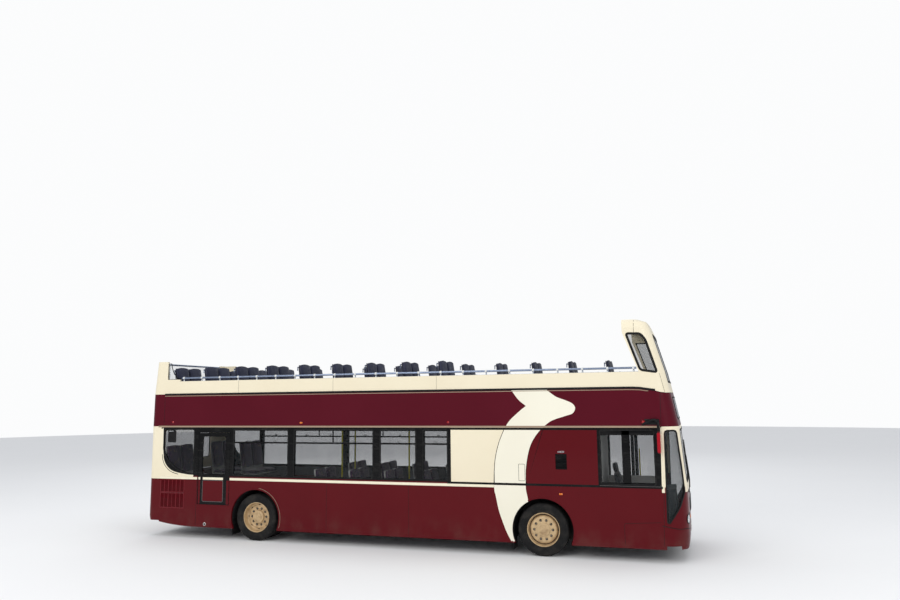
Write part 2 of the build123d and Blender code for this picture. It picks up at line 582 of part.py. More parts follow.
# Jacking pads under the rails
JACK_X = (along(1800), along(-1700))
JACK_LENGTH = 140
JACK_DROP = 12
for i, sign in enumerate((-1, 1)):
    for x in JACK_X:
        rails[i] += block(x - JACK_LENGTH / 2, x + JACK_LENGTH / 2, sign * RAIL_HALF,
                          sign * (RAIL_HALF + CHASSIS_RAIL), RAIL_LOW - JACK_DROP, RAIL_LOW)
save(group(rails), "chassis_frame")

# Cross members between the rails, with outriggers to the sides
LOW_MEMBERS = [along(x) for x in (5000, 4000, 2200, 900, -400, -1500)]
HIGH_MEMBERS = [along(x) for x in (-4100, -5300)]
MEMBER_HALF = 40
members = []
for x in LOW_MEMBERS + HIGH_MEMBERS:
    low, high = (RAIL_LOW + 50, RAIL_LOW + RAIL_DEEP) if x in LOW_MEMBERS else (KICK_Z + 10, KICK_Z + RAIL_DEEP)
    members.append(block(x - MEMBER_HALF, x + MEMBER_HALF, -RAIL_HALF, RAIL_HALF, low, high))
    for sign in (-1, 1):
        members.append(block(x - MEMBER_HALF, x + MEMBER_HALF, sign * (RAIL_HALF + CHASSIS_RAIL),
                             sign * (HALF - WALL - 15), low, high))
save(group(members), "cross_members")

# Front axle beam with an eye at each end for the kingpin
KINGPIN_RADIUS = 20
BEAM_RISE_Y = LINER_INNER_Y + 10
beam = block(AXLE_FRONT - 50, AXLE_FRONT + 50, -BEAM_RISE_Y - 60, BEAM_RISE_Y + 60, RAIL_LOW - 60, RAIL_LOW)
for sign in (-1, 1):
    beam += block(
        AXLE_FRONT - 50, AXLE_FRONT + 50, sign * BEAM_RISE_Y, sign * (BEAM_RISE_Y + 60), RAIL_LOW - 60, HUB_HEIGHT + 45)
    beam += block(
        AXLE_FRONT - 45, AXLE_FRONT + 45, sign * BEAM_RISE_Y, sign * KINGPIN_Y, HUB_HEIGHT - 45, HUB_HEIGHT + 45)
    beam += post(AXLE_FRONT, sign * KINGPIN_Y, 45, HUB_HEIGHT - 45, HUB_HEIGHT + 45)
    beam -= post(AXLE_FRONT, sign * KINGPIN_Y, KINGPIN_RADIUS + RUNNING, HUB_HEIGHT - 60, HUB_HEIGHT + 60)
save(beam, "front_axle_beam")

# Steering knuckles: fork, kingpin, stub axle and steering arm
STUB_RADIUS = 40
BALL_RADIUS = 12
ARM_LENGTH = 230
ARM_Y = 60
KNUCKLE_GAP = 5
FORK = 24
ROD_Z = RAIL_LOW - 30
BALL_Z = ROD_Z + 44
for sign, name in ((1, "left"), (-1, "right")):
    y = sign * KINGPIN_Y
    top_z = HUB_HEIGHT + 45 + KNUCKLE_GAP
    low_z = HUB_HEIGHT - 45 - KNUCKLE_GAP
    knuckle = post(AXLE_FRONT, y, KINGPIN_RADIUS, low_z - FORK, top_z + FORK)
    knuckle += post(AXLE_FRONT, y, 45, top_z, top_z + FORK)
    knuckle += post(AXLE_FRONT, y, 45, low_z - FORK, low_z)
    face_y = y + sign * 62
    knuckle += block(AXLE_FRONT - 45, AXLE_FRONT + 45, y, face_y + sign * 20, top_z, top_z + FORK)
    knuckle += block(AXLE_FRONT - 45, AXLE_FRONT + 45, y, face_y + sign * 20, low_z - FORK, low_z)
    knuckle += block(AXLE_FRONT - 45, AXLE_FRONT + 45, face_y, face_y + sign * 20, low_z - FORK, top_z + FORK)
    knuckle += rod(AXLE_FRONT, HUB_HEIGHT, STUB_RADIUS, face_y, sign * (TRACK_Y + 50))
    arm = side_prism(((AXLE_FRONT, BALL_Z - 12), (AXLE_FRONT, BALL_Z + 12), (AXLE_FRONT - ARM_LENGTH, BALL_Z + 12),
                      (AXLE_FRONT - ARM_LENGTH, BALL_Z - 12)), y - sign * ARM_Y - 20, y - sign * ARM_Y + 20)
    knuckle += arm
    knuckle += block(
        AXLE_FRONT - 45, AXLE_FRONT + 20, y - sign * (ARM_Y + 20), y - sign * (ARM_Y - 20), BALL_Z - 12, low_z)
    knuckle += block(AXLE_FRONT - 45, AXLE_FRONT + 20, y - sign * (ARM_Y + 20), y, low_z - FORK, low_z)
    knuckle += post(AXLE_FRONT - ARM_LENGTH, y - sign * ARM_Y, 24, BALL_Z - 12, BALL_Z + 12)
    if name == "left":
        knuckle += post(AXLE_FRONT - ARM_LENGTH, y - sign * ARM_Y, BALL_RADIUS, ROD_Z - 16, BALL_Z)
    save(knuckle, "knuckle_" + name)

# Track rod under the arms
ball_y = KINGPIN_Y - ARM_Y
rod_x = AXLE_FRONT - ARM_LENGTH
track_rod = rod(rod_x, ROD_Z, 18, -ball_y + 20, ball_y - 20)
track_rod += post(rod_x, ball_y, 28, ROD_Z - 20, ROD_Z + 20)
track_rod += post(rod_x, -ball_y, 28, ROD_Z - 20, ROD_Z + 20)
track_rod -= post(rod_x, ball_y, BALL_RADIUS + RUNNING, ROD_Z - 40, ROD_Z + 40)
save(track_rod, "track_rod")

# Rear axle: housing, differential and hub ends
AXLE_TUBE = 75
rear_axle = rod(AXLE_REAR, HUB_HEIGHT, AXLE_TUBE, -1060, 1060)
rear_axle += Pos(AXLE_REAR, 0, HUB_HEIGHT) * Sphere(210)
for sign in (-1, 1):
    spring = block(AXLE_REAR - 45, AXLE_REAR + 45, sign * RAIL_HALF, sign * (RAIL_HALF + CHASSIS_RAIL), HUB_HEIGHT, KICK_Z)
    rear_axle += spring
save(rear_axle, "rear_axle")

# Engine and gearbox as one plain block
ENGINE = (REAR + 210, along(-3900), -380, 380, 330, REAR_FLOOR_Z - FLOOR_THICK - 5)
engine = block(ENGINE[0], ENGINE[1], ENGINE[2], ENGINE[3], ENGINE[4], ENGINE[5])
for x in HIGH_MEMBERS:
    engine -= block(x - 50, x + 50, -SIDE_OUT, SIDE_OUT, KICK_Z + 10, 2000)
save(engine, "engine")


def tyre(y):
    """Tyre with rounded shoulders, turned about the wheel's axis."""
    half = TYRE_WIDTH / 2
    profile = Polyline(
        (RIM_RADIUS - 6, -half + 32), (RIM_RADIUS + 60, -half), (TYRE_RADIUS - 60, -half),
        (TYRE_RADIUS, -half + 34), (TYRE_RADIUS, half - 34), (TYRE_RADIUS - 60, half),
        (RIM_RADIUS + 60, half), (RIM_RADIUS - 6, half - 32), close=True)
    face = make_face(Plane.XY * profile)
    turned = revolve(face, Axis.Y, 360)
    return Pos(0, y, 0) * turned


# Outer side of a wheel from the rim to the boss: radius, place outward of the rim's middle
FRONT_FACE = ((278, 64), (268, 42), (254, 42), (244, 66), (228, 82), (200, 90), (130, 92))
REAR_FACE = ((278, -20), (262, -52), (236, -62), (215, -56), (198, -62), (130, -62))
DISC = 14
NUT_CIRCLE = 167
NUT_HOLE = 18


def rim(y, outward, face, boss):
    """Wheel disc with a rim, turned about the wheel's axis, with a ring of nut holes."""
    half = TYRE_WIDTH / 2 - 26
    bead = RIM_RADIUS - 7
    outer = [(r, outward * place) for r, place in face] + [(boss, outward * face[-1][1])]
    inner = [(r, place - outward * DISC) for r, place in reversed(outer)]
    well = bead - RIM_WALL
    profile = Polyline((bead, -outward * half), (bead, outward * half), (well, outward * half), *outer, *inner,
                       (well, -outward * half), close=True)
    turned = revolve(make_face(Plane.XY * profile), Axis.Y, 360)
    middle = outward * (face[-1][1] - DISC / 2)
    for i in range(10):
        angle = math.radians(36 * i)
        turned -= rod(NUT_CIRCLE * math.cos(angle), NUT_CIRCLE * math.sin(angle), NUT_HOLE, middle - 30, middle + 30)
    return Pos(0, y, 0) * turned


for sign, name in ((1, "left"), (-1, "right")):
    at_front = Pos(AXLE_FRONT, 0, HUB_HEIGHT)
    at_rear = Pos(AXLE_REAR, 0, HUB_HEIGHT)
    y = sign * TRACK_Y
    hub = rod(0, 0, 75, y - sign * 50, y + sign * 116) + rod(0, 0, 112, y + sign * 78, y + sign * 108)
    hub -= rod(0, 0, STUB_RADIUS + RUNNING, y - sign * 60, y + sign * 55)
    save(at_front * tyre(y), "front_tyre_" + name)
    save(at_front * (rim(y, sign, FRONT_FACE, 70) + hub), "front_rim_" + name)
    inner = y - sign * TWIN_PITCH
    bore = AXLE_TUBE + RUNNING
    outer_rim = rim(y, sign, REAR_FACE, bore)
    inner_rim = rim(inner, -sign, REAR_FACE, bore)
    spacer = rod(0, 0, 110, y - sign * 68, inner + sign * 68) - rod(0, 0, bore, y + sign * 90, inner - sign * 90)
    cap = rod(0, 0, 100, y - sign * 72, y + sign * 10) - rod(0, 0, bore, y - sign * 90, y - sign * 20)
    save(group([at_rear * tyre(y), at_rear * tyre(inner)]), "rear_tyres_" + name)
    save(at_rear * (outer_rim + inner_rim + spacer + cap), "rear_rims_" + name)

# Door leaves turn on pins in their rounded edges
def pivot_edge(x, sign, z0, z1):
    """Rounded edge of a leaf round its pivots."""
    return post(x, sign * PIVOT_Y, DOOR_THICK / 2, z0, z1)


def pivot_holes(x, sign, z0, z1):
    """Blind holes for the pins at the foot and head of a leaf."""
    radius = PIVOT_RADIUS + RUNNING
    foot = post(x, sign * PIVOT_Y, radius, z0 - 1, z0 + PIVOT_DEPTH)
    return foot + post(x, sign * PIVOT_Y, radius, z1 - PIVOT_DEPTH, z1 + 1)


ex0, ex1, ez0, ez1 = EMERGENCY
door_out = HALF
em_door = block(ex0 + DOOR_GAP, EMERGENCY_PIVOT, -door_out, -door_out + DOOR_THICK, ez0 + DOOR_GAP, ez1 - DOOR_GAP)
em_door += pivot_edge(EMERGENCY_PIVOT, -1, ez0 + DOOR_GAP, ez1 - DOOR_GAP)
em_door -= pivot_holes(EMERGENCY_PIVOT, -1, ez0 + DOOR_GAP, ez1 - DOOR_GAP)
em_door -= side_window(ex0 + 100, ex1 - 100, WINDOW_LOW, ez1 - 70, 40, -door_out - 10, -door_out + 100)
em_pane = side_window(ex0 + 100, ex1 - 100, WINDOW_LOW, ez1 - 70, 40, -door_out + 14, -door_out + 22)
save(em_door + em_pane, "emergency_door")

nx0, nx1, nz0, nz1 = ENTRANCE
mid_x = (nx0 + nx1) / 2
leaves = (("rear", ENTRANCE_PIVOTS[0], mid_x - DOOR_GAP / 2, 0), ("front", mid_x + DOOR_GAP / 2, ENTRANCE_PIVOTS[1], 1))
for name, x0, x1, edge in leaves:
    pivot_x = ENTRANCE_PIVOTS[edge]
    leaf = block(x0, x1, door_out - DOOR_THICK, door_out, nz0 + DOOR_GAP, nz1 - DOOR_GAP)
    leaf += pivot_edge(pivot_x, 1, nz0 + DOOR_GAP, nz1 - DOOR_GAP)
    leaf -= pivot_holes(pivot_x, 1, nz0 + DOOR_GAP, nz1 - DOOR_GAP)
    leaf -= side_window(x0 + 60, x1 - 60, nz0 + 120, nz1 - 70, 50, door_out - 100, door_out + 10)
    leaf += side_window(x0 + 60, x1 - 60, nz0 + 120, nz1 - 70, 50, door_out - 22, door_out - 14)
    save(leaf, "entrance_leaf_" + name)

# Seats: cushion, back and foot, in pairs
SEAT_W = 440
SEAT_GAP_Y = 25
SEAT_PITCH = 760
CUSHION_Z = 430
CUSHION_T = 90
BACK_H = 640
BACK_T = 70


def seat_pair(x, y_wall, sign, floor_z):
    """Two seats side by side on one pedestal, facing forward."""
    y0 = sign * (y_wall - 2 * SEAT_W)
    y1 = sign * y_wall
    cushion = block(x, x + 430, y0, y1, floor_z + CUSHION_Z - CUSHION_T, floor_z + CUSHION_Z)
    back = side_prism(((x - 90, floor_z + CUSHION_Z + BACK_H), (x - 90 + BACK_T, floor_z + CUSHION_Z + BACK_H),
                       (x + BACK_T, floor_z + CUSHION_Z), (x + BACK_T, floor_z + CUSHION_Z - CUSHION_T),
                       (x, floor_z + CUSHION_Z - CUSHION_T)), y0, y1)
    middle = sign * (y_wall - SEAT_W)
    foot = block(x + 120, x + 320, middle - 60, middle + 60, floor_z, floor_z + CUSHION_Z - CUSHION_T)
    return cushion + back + foot


SEAT_WALL = HALF - WALL - 12
# Lower rows: X, side, floor height
LOWER_ROWS = [(along(-5150), -1, REAR_FLOOR_Z), (along(-5150), 1, REAR_FLOOR_Z), (along(-4360), 1, REAR_FLOOR_Z)]
LOWER_ROWS += [(along(-1560 + i * SEAT_PITCH), s, FLOOR_Z) for i in range(4) for s in (-1, 1)]
save(group([seat_pair(x, SEAT_WALL, s, z) for x, s, z in LOWER_ROWS]), "lower_seats")
UPPER_ROWS = [(along(-5000 + i * SEAT_PITCH), s) for i in range(9) for s in (-1, 1)]
UPPER_ROWS += [(along(-5000 + i * SEAT_PITCH), 1) for i in range(9, 13)]
save(group([seat_pair(x, SEAT_WALL, s, UPPER_FLOOR_Z) for x, s in UPPER_ROWS]), "upper_seats")

# Cab: driver's seat, dashboard, partition, steering wheel
DRIVER = (FRONT - 1200, -690)
driver_seat = block(DRIVER[0], DRIVER[0] + 470, DRIVER[1] - 240, DRIVER[1] + 240, 880, 990)
driver_seat += side_prism(((DRIVER[0] - 120, 1640), (DRIVER[0] - 30, 1640), (DRIVER[0] + 90, 990),
                           (DRIVER[0] + 90, 880), (DRIVER[0], 880)), DRIVER[1] - 235, DRIVER[1] + 235)
driver_seat += block(DRIVER[0] + 100, DRIVER[0] + 400, DRIVER[1] - 150, DRIVER[1] + 150, FLOOR_Z, 880)
save(driver_seat, "driver_seat")
dash_outline = ((FRONT - 480, FLOOR_Z), (FRONT - 480, 900), (FRONT - 630, 1010), (FRONT - 630, 1080),
                (FRONT - 380, WAIST - 70), (FRONT - 230, WAIST - 55), (FRONT - 200, FLOOR_Z))
dashboard = side_prism(dash_outline, -1040, -200)
COLUMN_TOP = (FRONT - 740, 1130)
COLUMN_FOOT = (FRONT - 470, 700)
lean = math.degrees(math.atan2(COLUMN_FOOT[0] - COLUMN_TOP[0], COLUMN_TOP[1] - COLUMN_FOOT[1]))
column_length = math.hypot(COLUMN_FOOT[0] - COLUMN_TOP[0], COLUMN_TOP[1] - COLUMN_FOOT[1])
column_plane = Plane(origin=(COLUMN_TOP[0], DRIVER[1], COLUMN_TOP[1]), x_dir=(0, 1, 0),
                     z_dir=(-math.sin(math.radians(lean)), 0, math.cos(math.radians(lean))))
SHAFT_RADIUS = 14
column = column_plane * Pos(0, 0, -40 - column_length / 2) * Cylinder(28, column_length)
column += column_plane * Pos(0, 0, -30) * Cylinder(SHAFT_RADIUS, 60)
dashboard += column
save(dashboard, "dashboard")
wheel = column_plane * Torus(215, 15)
wheel += column_plane * Pos(0, 0, -10) * Cylinder(50, 40)
wheel -= column_plane * Pos(0, 0, -20) * Cylinder(SHAFT_RADIUS + RUNNING, 44)
for i in range(3):
    spoke = Rot(0, 0, 90 + 120 * i) * Pos(130, 0, -6) * Box(180, 34, 12)
    wheel += column_plane * spoke
save(wheel, "steering_wheel")
PARTITION_X = STAIR_X1 + 90
PARTITION_THICK = 30
PARTITION_Y = -150
partition = block(PARTITION_X, PARTITION_X + PARTITION_THICK, -(HALF - WALL - 5), PARTITION_Y, FLOOR_Z,
                  UPPER_FLOOR_Z - UPPER_FLOOR_THICK)
partition += block(PARTITION_X, FRONT - 550, PARTITION_Y - PARTITION_THICK, PARTITION_Y, FLOOR_Z, WAIST + 80)
save(partition, "cab_partition")

# Grab poles on both decks
POLE_R = 17
LOWER_POLES = [(along(x), s * 320) for x in (-1450, 70, 1590) for s in (-1, 1)] + [(along(3700), 330)]
poles = [post(x, y, POLE_R, FLOOR_Z, UPPER_FLOOR_Z - UPPER_FLOOR_THICK) for x, y in LOWER_POLES]
save(group(poles), "poles")

# Mirrors on arms from the front corners
MIRROR_X = FRONT - 465
mirrors = []
for sign in (-1, 1):
    arm = post(MIRROR_X, sign * (HALF + 80), 12, 2190, 2400)
    arm += block(MIRROR_X - 12, MIRROR_X + 12, sign * HALF, sign * (HALF + 92), 2388, 2412)
    arm += block(MIRROR_X - 25, MIRROR_X + 25, sign * (HALF + 15), sign * (HALF + 145), 1850, 2210)
    mirrors.append(arm)
save(group(mirrors), "mirrors")
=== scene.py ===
"""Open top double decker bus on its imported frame: paint, livery, glass, wheels, seats and trim.

X runs forward, Y to the nearside where the entrance is, Z up from the ground, in metres.
"""

import math

import bmesh
import bpy
from mathutils import Matrix, Vector
from mathutils.geometry import tessellate_polygon


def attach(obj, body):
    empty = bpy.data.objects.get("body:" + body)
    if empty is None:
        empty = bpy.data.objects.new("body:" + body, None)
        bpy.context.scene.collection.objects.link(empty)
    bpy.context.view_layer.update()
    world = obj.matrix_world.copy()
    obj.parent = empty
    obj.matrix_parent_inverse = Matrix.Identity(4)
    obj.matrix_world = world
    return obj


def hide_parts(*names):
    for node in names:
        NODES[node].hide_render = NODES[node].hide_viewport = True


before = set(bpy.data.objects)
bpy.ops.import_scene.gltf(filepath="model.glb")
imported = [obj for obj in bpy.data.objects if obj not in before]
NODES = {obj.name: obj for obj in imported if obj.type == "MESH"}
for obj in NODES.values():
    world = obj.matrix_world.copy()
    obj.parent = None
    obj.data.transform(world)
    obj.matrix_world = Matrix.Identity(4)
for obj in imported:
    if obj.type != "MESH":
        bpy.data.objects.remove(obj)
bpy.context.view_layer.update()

# The pieces are drawn from a zero that lies this far ahead of the middle of the length
DATUM = 0.03

# Sizes that the pieces share with the frame
SIDE = 1.275
REAR = -5.59
WAIST = 1.27
UPPER_FLOOR = 2.48
FLOOR = 0.37
REAR_FLOOR = 0.8
AXLE_FRONT = 2.99
AXLE_REAR = -2.94
HUB_Z = 0.465
LIP_RADIUS = 0.572
BEAD_RADIUS = 0.589
MIRROR_Y = 1.355
TRACK = 1.095
TWIN_PITCH = 0.318
TYRE_RADIUS = 0.465
NOSE_BULGE = 0.026
CORNER_RATIO = 0.84

# Plan of the front end: height, nose X, length of the corner, half width
NOSE_LEVELS = (
    (0.23, 5.5, 0.36, 1.275),
    (0.42, 5.526, 0.36, 1.275),
    (1.0, 5.53, 0.36, 1.275),
    (1.3, 5.52, 0.36, 1.275),
    (1.6, 5.49, 0.36, 1.275),
    (2.3, 5.435, 0.34, 1.275),
    (2.985, 5.302, 0.29, 1.275),
    (3.26, 5.243, 0.26, 1.275),
    (3.94, 5.048, 0.23, 1.275),
    (4.06, 5.005, 0.22, 1.269),
    (4.15, 4.965, 0.2, 1.235),
    (4.205, 4.83, 0.17, 1.125),
)


def rgb(red, green, blue):
    """Linear colour of screen values from 0 to 255."""
    def straight(value):
        value /= 255
        return value / 12.92 if value <= 0.04045 else ((value + 0.055) / 1.055) ** 2.4
    return straight(red), straight(green), straight(blue)


class Finish:
    """A node material in the making: one Principled shader and the nodes that feed it."""

    def __init__(self, name, color, roughness=0.5, metallic=0.0, **sockets):
        self.material = bpy.data.materials.new(name)
        self.material.use_nodes = True
        self.material.diffuse_color = (*color, 1)
        self.tree = self.material.node_tree
        self.shader = self.tree.nodes["Principled BSDF"]
        self.shader.inputs["Base Color"].default_value = (*color, 1)
        self.shader.inputs["Roughness"].default_value = roughness
        self.shader.inputs["Metallic"].default_value = metallic
        for socket, value in sockets.items():
            self.shader.inputs[socket.replace("_", " ")].default_value = value
        self.place = self.add("ShaderNodeTexCoord").outputs["Object"]
        self.height = None

    def add(self, kind, **settings):
        """New node with its plain settings."""
        node = self.tree.nodes.new(kind)
        for key, value in settings.items():
            setattr(node, key, value)
        return node

    def join(self, source, target):
        """Link a socket, or set a plain value."""
        if isinstance(source, bpy.types.NodeSocket):
            self.tree.links.new(source, target)
        else:
            target.default_value = source

    def maths(self, operation, first, second=0.0, clamp=False):
        node = self.add("ShaderNodeMath", operation=operation, use_clamp=clamp)
        self.join(first, node.inputs[0])
        self.join(second, node.inputs[1])
        return node.outputs[0]

    def stretched(self, scale):
        """Object coordinates scaled apart along the axes."""
        node = self.add("ShaderNodeMapping")
        self.join(self.place, node.inputs["Vector"])
        node.inputs["Scale"].default_value = scale
        return node.outputs[0]

    def noise(self, scale, detail=3.0, stretch=(1.0, 1.0, 1.0), distortion=0.0):
        node = self.add("ShaderNodeTexNoise")
        self.join(self.stretched(stretch), node.inputs["Vector"])
        node.inputs["Scale"].default_value = scale
        node.inputs["Detail"].default_value = detail
        node.inputs["Distortion"].default_value = distortion
        return node.outputs["Fac"]

    def cells(self, scale, feature="F1", stretch=(1.0, 1.0, 1.0), output="Distance"):
        node = self.add("ShaderNodeTexVoronoi", feature=feature)
        self.join(self.stretched(stretch), node.inputs["Vector"])
        node.inputs["Scale"].default_value = scale
        return node.outputs[output]

    def waves(self, scale, direction):
        node = self.add("ShaderNodeTexWave", bands_direction=direction, wave_profile="SIN")
        self.join(self.place, node.inputs["Vector"])
        node.inputs["Scale"].default_value = scale
        return node.outputs["Fac"]

    def axis(self, name):
        node = self.add("ShaderNodeSeparateXYZ")
        self.join(self.place, node.inputs[0])
        return node.outputs[name]

    def span(self, source, low, high, out_low=0.0, out_high=1.0):
        """Source between low and high, carried to another span."""
        node = self.add("ShaderNodeMapRange", interpolation_type="SMOOTHSTEP")
        self.join(source, node.inputs["Value"])
        for key, value in (("From Min", low), ("From Max", high), ("To Min", out_low),
                           ("To Max", out_high)):
            node.inputs[key].default_value = value
        return node.outputs["Result"]

    def tint(self, share, color):
        """Lay a colour over the base colour by a share."""
        node = self.add("ShaderNodeMix", data_type="RGBA")
        target = self.shader.inputs["Base Color"]
        self.join(share, node.inputs["Factor"])
        if target.is_linked:
            self.join(target.links[0].from_socket, node.inputs[6])
        else:
            node.inputs[6].default_value = target.default_value[:]
        node.inputs[7].default_value = (*color, 1)
        self.tree.links.new(node.outputs[2], target)
        return self

    def rough(self, share, value):
        """Move the roughness towards a value by a share."""
        target = self.shader.inputs["Roughness"]
        start = target.links[0].from_socket if target.is_linked else target.default_value
        node = self.add("ShaderNodeMix", data_type="FLOAT")
        self.join(share, node.inputs["Factor"])
        self.join(start, node.inputs[2])
        node.inputs[3].default_value = value
        self.tree.links.new(node.outputs[0], target)
        return self

    def relief(self, height, strength, distance):
        """Add a bump to the surface; each call builds on the last."""
        node = self.add("ShaderNodeBump")
        node.inputs["Strength"].default_value = strength
        node.inputs["Distance"].default_value = distance
        self.join(height, node.inputs["Height"])
        if self.height is not None:
            self.tree.links.new(self.height, node.inputs["Normal"])
        self.height = node.outputs["Normal"]
        self.tree.links.new(self.height, self.shader.inputs["Normal"])
        return self


def coach_paint(name, color, faded):
    """Two-pack gloss over fibreglass and steel panels: slight waviness, orange peel, road film low down."""
    finish = Finish(name, color, roughness=0.34, Specular_IOR_Level=0.08, Coat_Weight=0.14,
                    Coat_Roughness=0.05)
    finish.tint(finish.span(finish.noise(0.7, 4.0), 0.35, 0.75, 0.0, 0.45), faded)
    low = finish.span(finish.axis("Z"), 0.2, 0.75, 1.0, 0.0)
    film = finish.maths("MULTIPLY", low, finish.span(finish.noise(3.2, 7.0, (1.0, 1.0, 0.7)), 0.38, 0.8))
    finish.tint(finish.maths("MULTIPLY", film, 0.16), rgb(112, 98, 86))
    finish.rough(film, 0.6)
    specks = finish.span(finish.cells(95.0), 0.0, 0.07, 1.0, 0.0)
    finish.tint(finish.maths("MULTIPLY", specks, finish.maths("MULTIPLY", low, 0.4)), rgb(96, 84, 74))
    finish.relief(finish.noise(1.3, 2.0, (0.6, 1.0, 1.0)), 0.16, 0.02)
    finish.relief(finish.noise(240.0, 1.0), 0.035, 0.001)
    return finish.material


def gloss_black(name, shade=0.012, roughness=0.2, marks=0.03):
    """Black gloss of pillars and trims, with wipe marks and fine dust."""
    finish = Finish(name, (shade, shade, shade * 1.1), roughness=roughness, Specular_IOR_Level=0.1,
                    Coat_Weight=0.08, Coat_Roughness=0.06)
    wipe = finish.span(finish.noise(9.0, 5.0, (0.4, 1.0, 1.6)), 0.45, 0.7)
    finish.rough(finish.maths("MULTIPLY", wipe, 0.4), 0.5)
    finish.tint(finish.maths("MULTIPLY", wipe, marks), rgb(120, 118, 112))
    finish.relief(finish.noise(180.0, 1.0), 0.03, 0.001)
    return finish.material


def rubber(name):
    """Extruded black rubber of gaskets and seals."""
    finish = Finish(name, rgb(12, 12, 13), roughness=0.62, Specular_IOR_Level=0.25)
    finish.tint(finish.span(finish.noise(30.0, 4.0), 0.5, 0.8, 0.0, 0.3), rgb(74, 72, 68))
    finish.relief(finish.noise(420.0, 2.0), 0.12, 0.0006)
    return finish.material


def tyre_rubber(name):
    """Tyre: dark rubber, greyed side walls and road dust held in the tread."""
    finish = Finish(name, rgb(19, 19, 20), roughness=0.8, Specular_IOR_Level=0.25)
    grey = finish.span(finish.noise(7.0, 6.0), 0.38, 0.72)
    finish.tint(finish.maths("MULTIPLY", grey, 0.24), rgb(80, 76, 70))
    finish.tint(finish.span(finish.noise(60.0, 3.0), 0.6, 0.8, 0.0, 0.3), rgb(112, 104, 92))
    finish.rough(grey, 0.9)
    finish.relief(finish.noise(260.0, 3.0), 0.22, 0.0008)
    finish.relief(finish.noise(24.0, 3.0), 0.1, 0.003)
    return finish.material


def window_glass(name, tint, opacity, edge):
    """Toughened glass: see-through face on, mirror-like at a shallow angle, with dried wash marks."""
    finish = Finish(name, tint, roughness=0.03, IOR=1.52, Specular_IOR_Level=0.5)
    marks = finish.span(finish.noise(3.0, 8.0, (1.0, 1.0, 0.35), 0.4), 0.5, 0.8)
    finish.rough(finish.maths("MULTIPLY", marks, 0.5), 0.16)
    glance = finish.add("ShaderNodeLayerWeight")
    glance.inputs["Blend"].default_value = 0.35
    clear = finish.span(glance.outputs["Facing"], 0.1, 1.0, opacity, edge)
    hazed = finish.maths("ADD", clear, finish.maths("MULTIPLY", marks, 0.035), clamp=True)
    finish.join(hazed, finish.shader.inputs["Alpha"])
    finish.relief(finish.noise(0.8, 1.0), 0.05, 0.006)
    return finish.material


def wheel_enamel(name):
    """Beige wheel enamel with brake dust, spots of rust and stone chips."""
    finish = Finish(name, rgb(196, 168, 126), roughness=0.42, metallic=0.15, Coat_Weight=0.2,
                    Coat_Roughness=0.2)
    dust = finish.span(finish.noise(11.0, 7.0), 0.4, 0.72)
    finish.tint(finish.maths("MULTIPLY", dust, 0.5), rgb(138, 108, 76))
    finish.tint(finish.span(finish.noise(46.0, 3.0), 0.66, 0.78, 0.0, 0.7), rgb(84, 58, 40))
    finish.rough(dust, 0.66)
    finish.relief(finish.noise(130.0, 3.0), 0.1, 0.001)
    return finish.material


def painted_steel(name, color, dirt):
    """Chassis black or iron grey with road dirt."""
    finish = Finish(name, color, roughness=0.6, metallic=0.3)
    film = finish.span(finish.noise(6.0, 7.0), 0.4, 0.75)
    finish.tint(finish.maths("MULTIPLY", film, 0.5), dirt)
    finish.tint(finish.span(finish.noise(34.0, 4.0), 0.64, 0.8, 0.0, 0.6), rgb(92, 56, 36))
    finish.rough(film, 0.85)
    finish.relief(finish.noise(75.0, 4.0), 0.25, 0.0015)
    return finish.material


def floor_vinyl(name, color, flecks):
    """Safety floor: speckled vinyl with grit and worn gangways."""
    finish = Finish(name, color, roughness=0.6)
    grains = finish.cells(320.0, output="Color")
    finish.tint(finish.span(grains, 0.62, 0.7, 0.0, 0.75), flecks)
    finish.tint(finish.span(grains, 0.2, 0.3, 0.4, 0.0), rgb(36, 38, 42))
    finish.tint(finish.span(finish.noise(1.6, 5.0), 0.48, 0.72, 0.0, 0.35), rgb(120, 112, 100))
    finish.relief(finish.cells(320.0), 0.25, 0.0012)
    return finish.material


def moulded(name, color, grain=520.0, roughness=0.5, wear=0.15):
    """Moulded plastic with a pebbled grain and rubbed patches."""
    finish = Finish(name, color, roughness=roughness)
    rubbed = finish.span(finish.noise(5.0, 5.0), 0.5, 0.75)
    lighter = tuple(min(1.0, value * 1.5 + 0.03) for value in color)
    finish.tint(finish.maths("MULTIPLY", rubbed, wear), lighter)
    finish.rough(finish.maths("MULTIPLY", rubbed, 0.6), max(0.18, roughness - 0.18))
    finish.relief(finish.cells(grain), 0.2, 0.0007)
    finish.relief(finish.noise(16.0, 2.0), 0.06, 0.002)
    return finish.material


def seat_cloth(name, ground, fleck, second):
    """Woven moquette: a fine weave with small two-colour flecks."""
    finish = Finish(name, ground, roughness=0.88, Sheen_Weight=0.35, Sheen_Roughness=0.5)
    flecks = finish.cells(34.0, stretch=(1.0, 1.0, 0.8), output="Color")
    near = finish.cells(34.0, stretch=(1.0, 1.0, 0.8))
    dots = finish.span(near, 0.22, 0.3, 1.0, 0.0)
    finish.tint(finish.maths("MULTIPLY", dots, finish.span(flecks, 0.45, 0.5)), fleck)
    finish.tint(finish.maths("MULTIPLY", dots, finish.span(flecks, 0.3, 0.25)), second)
    warp = finish.waves(150.0, "Y")
    weft = finish.waves(150.0, "X")
    rise = finish.waves(150.0, "Z")
    weave = finish.maths("MAXIMUM", warp, finish.maths("MULTIPLY", weft, rise))
    finish.tint(finish.maths("MULTIPLY", weave, 0.25), tuple(value * 0.5 for value in ground))
    finish.tint(finish.span(finish.noise(4.0, 4.0), 0.5, 0.75, 0.0, 0.25),
                tuple(value * 1.7 for value in ground))
    finish.relief(weave, 0.35, 0.0012)
    return finish.material


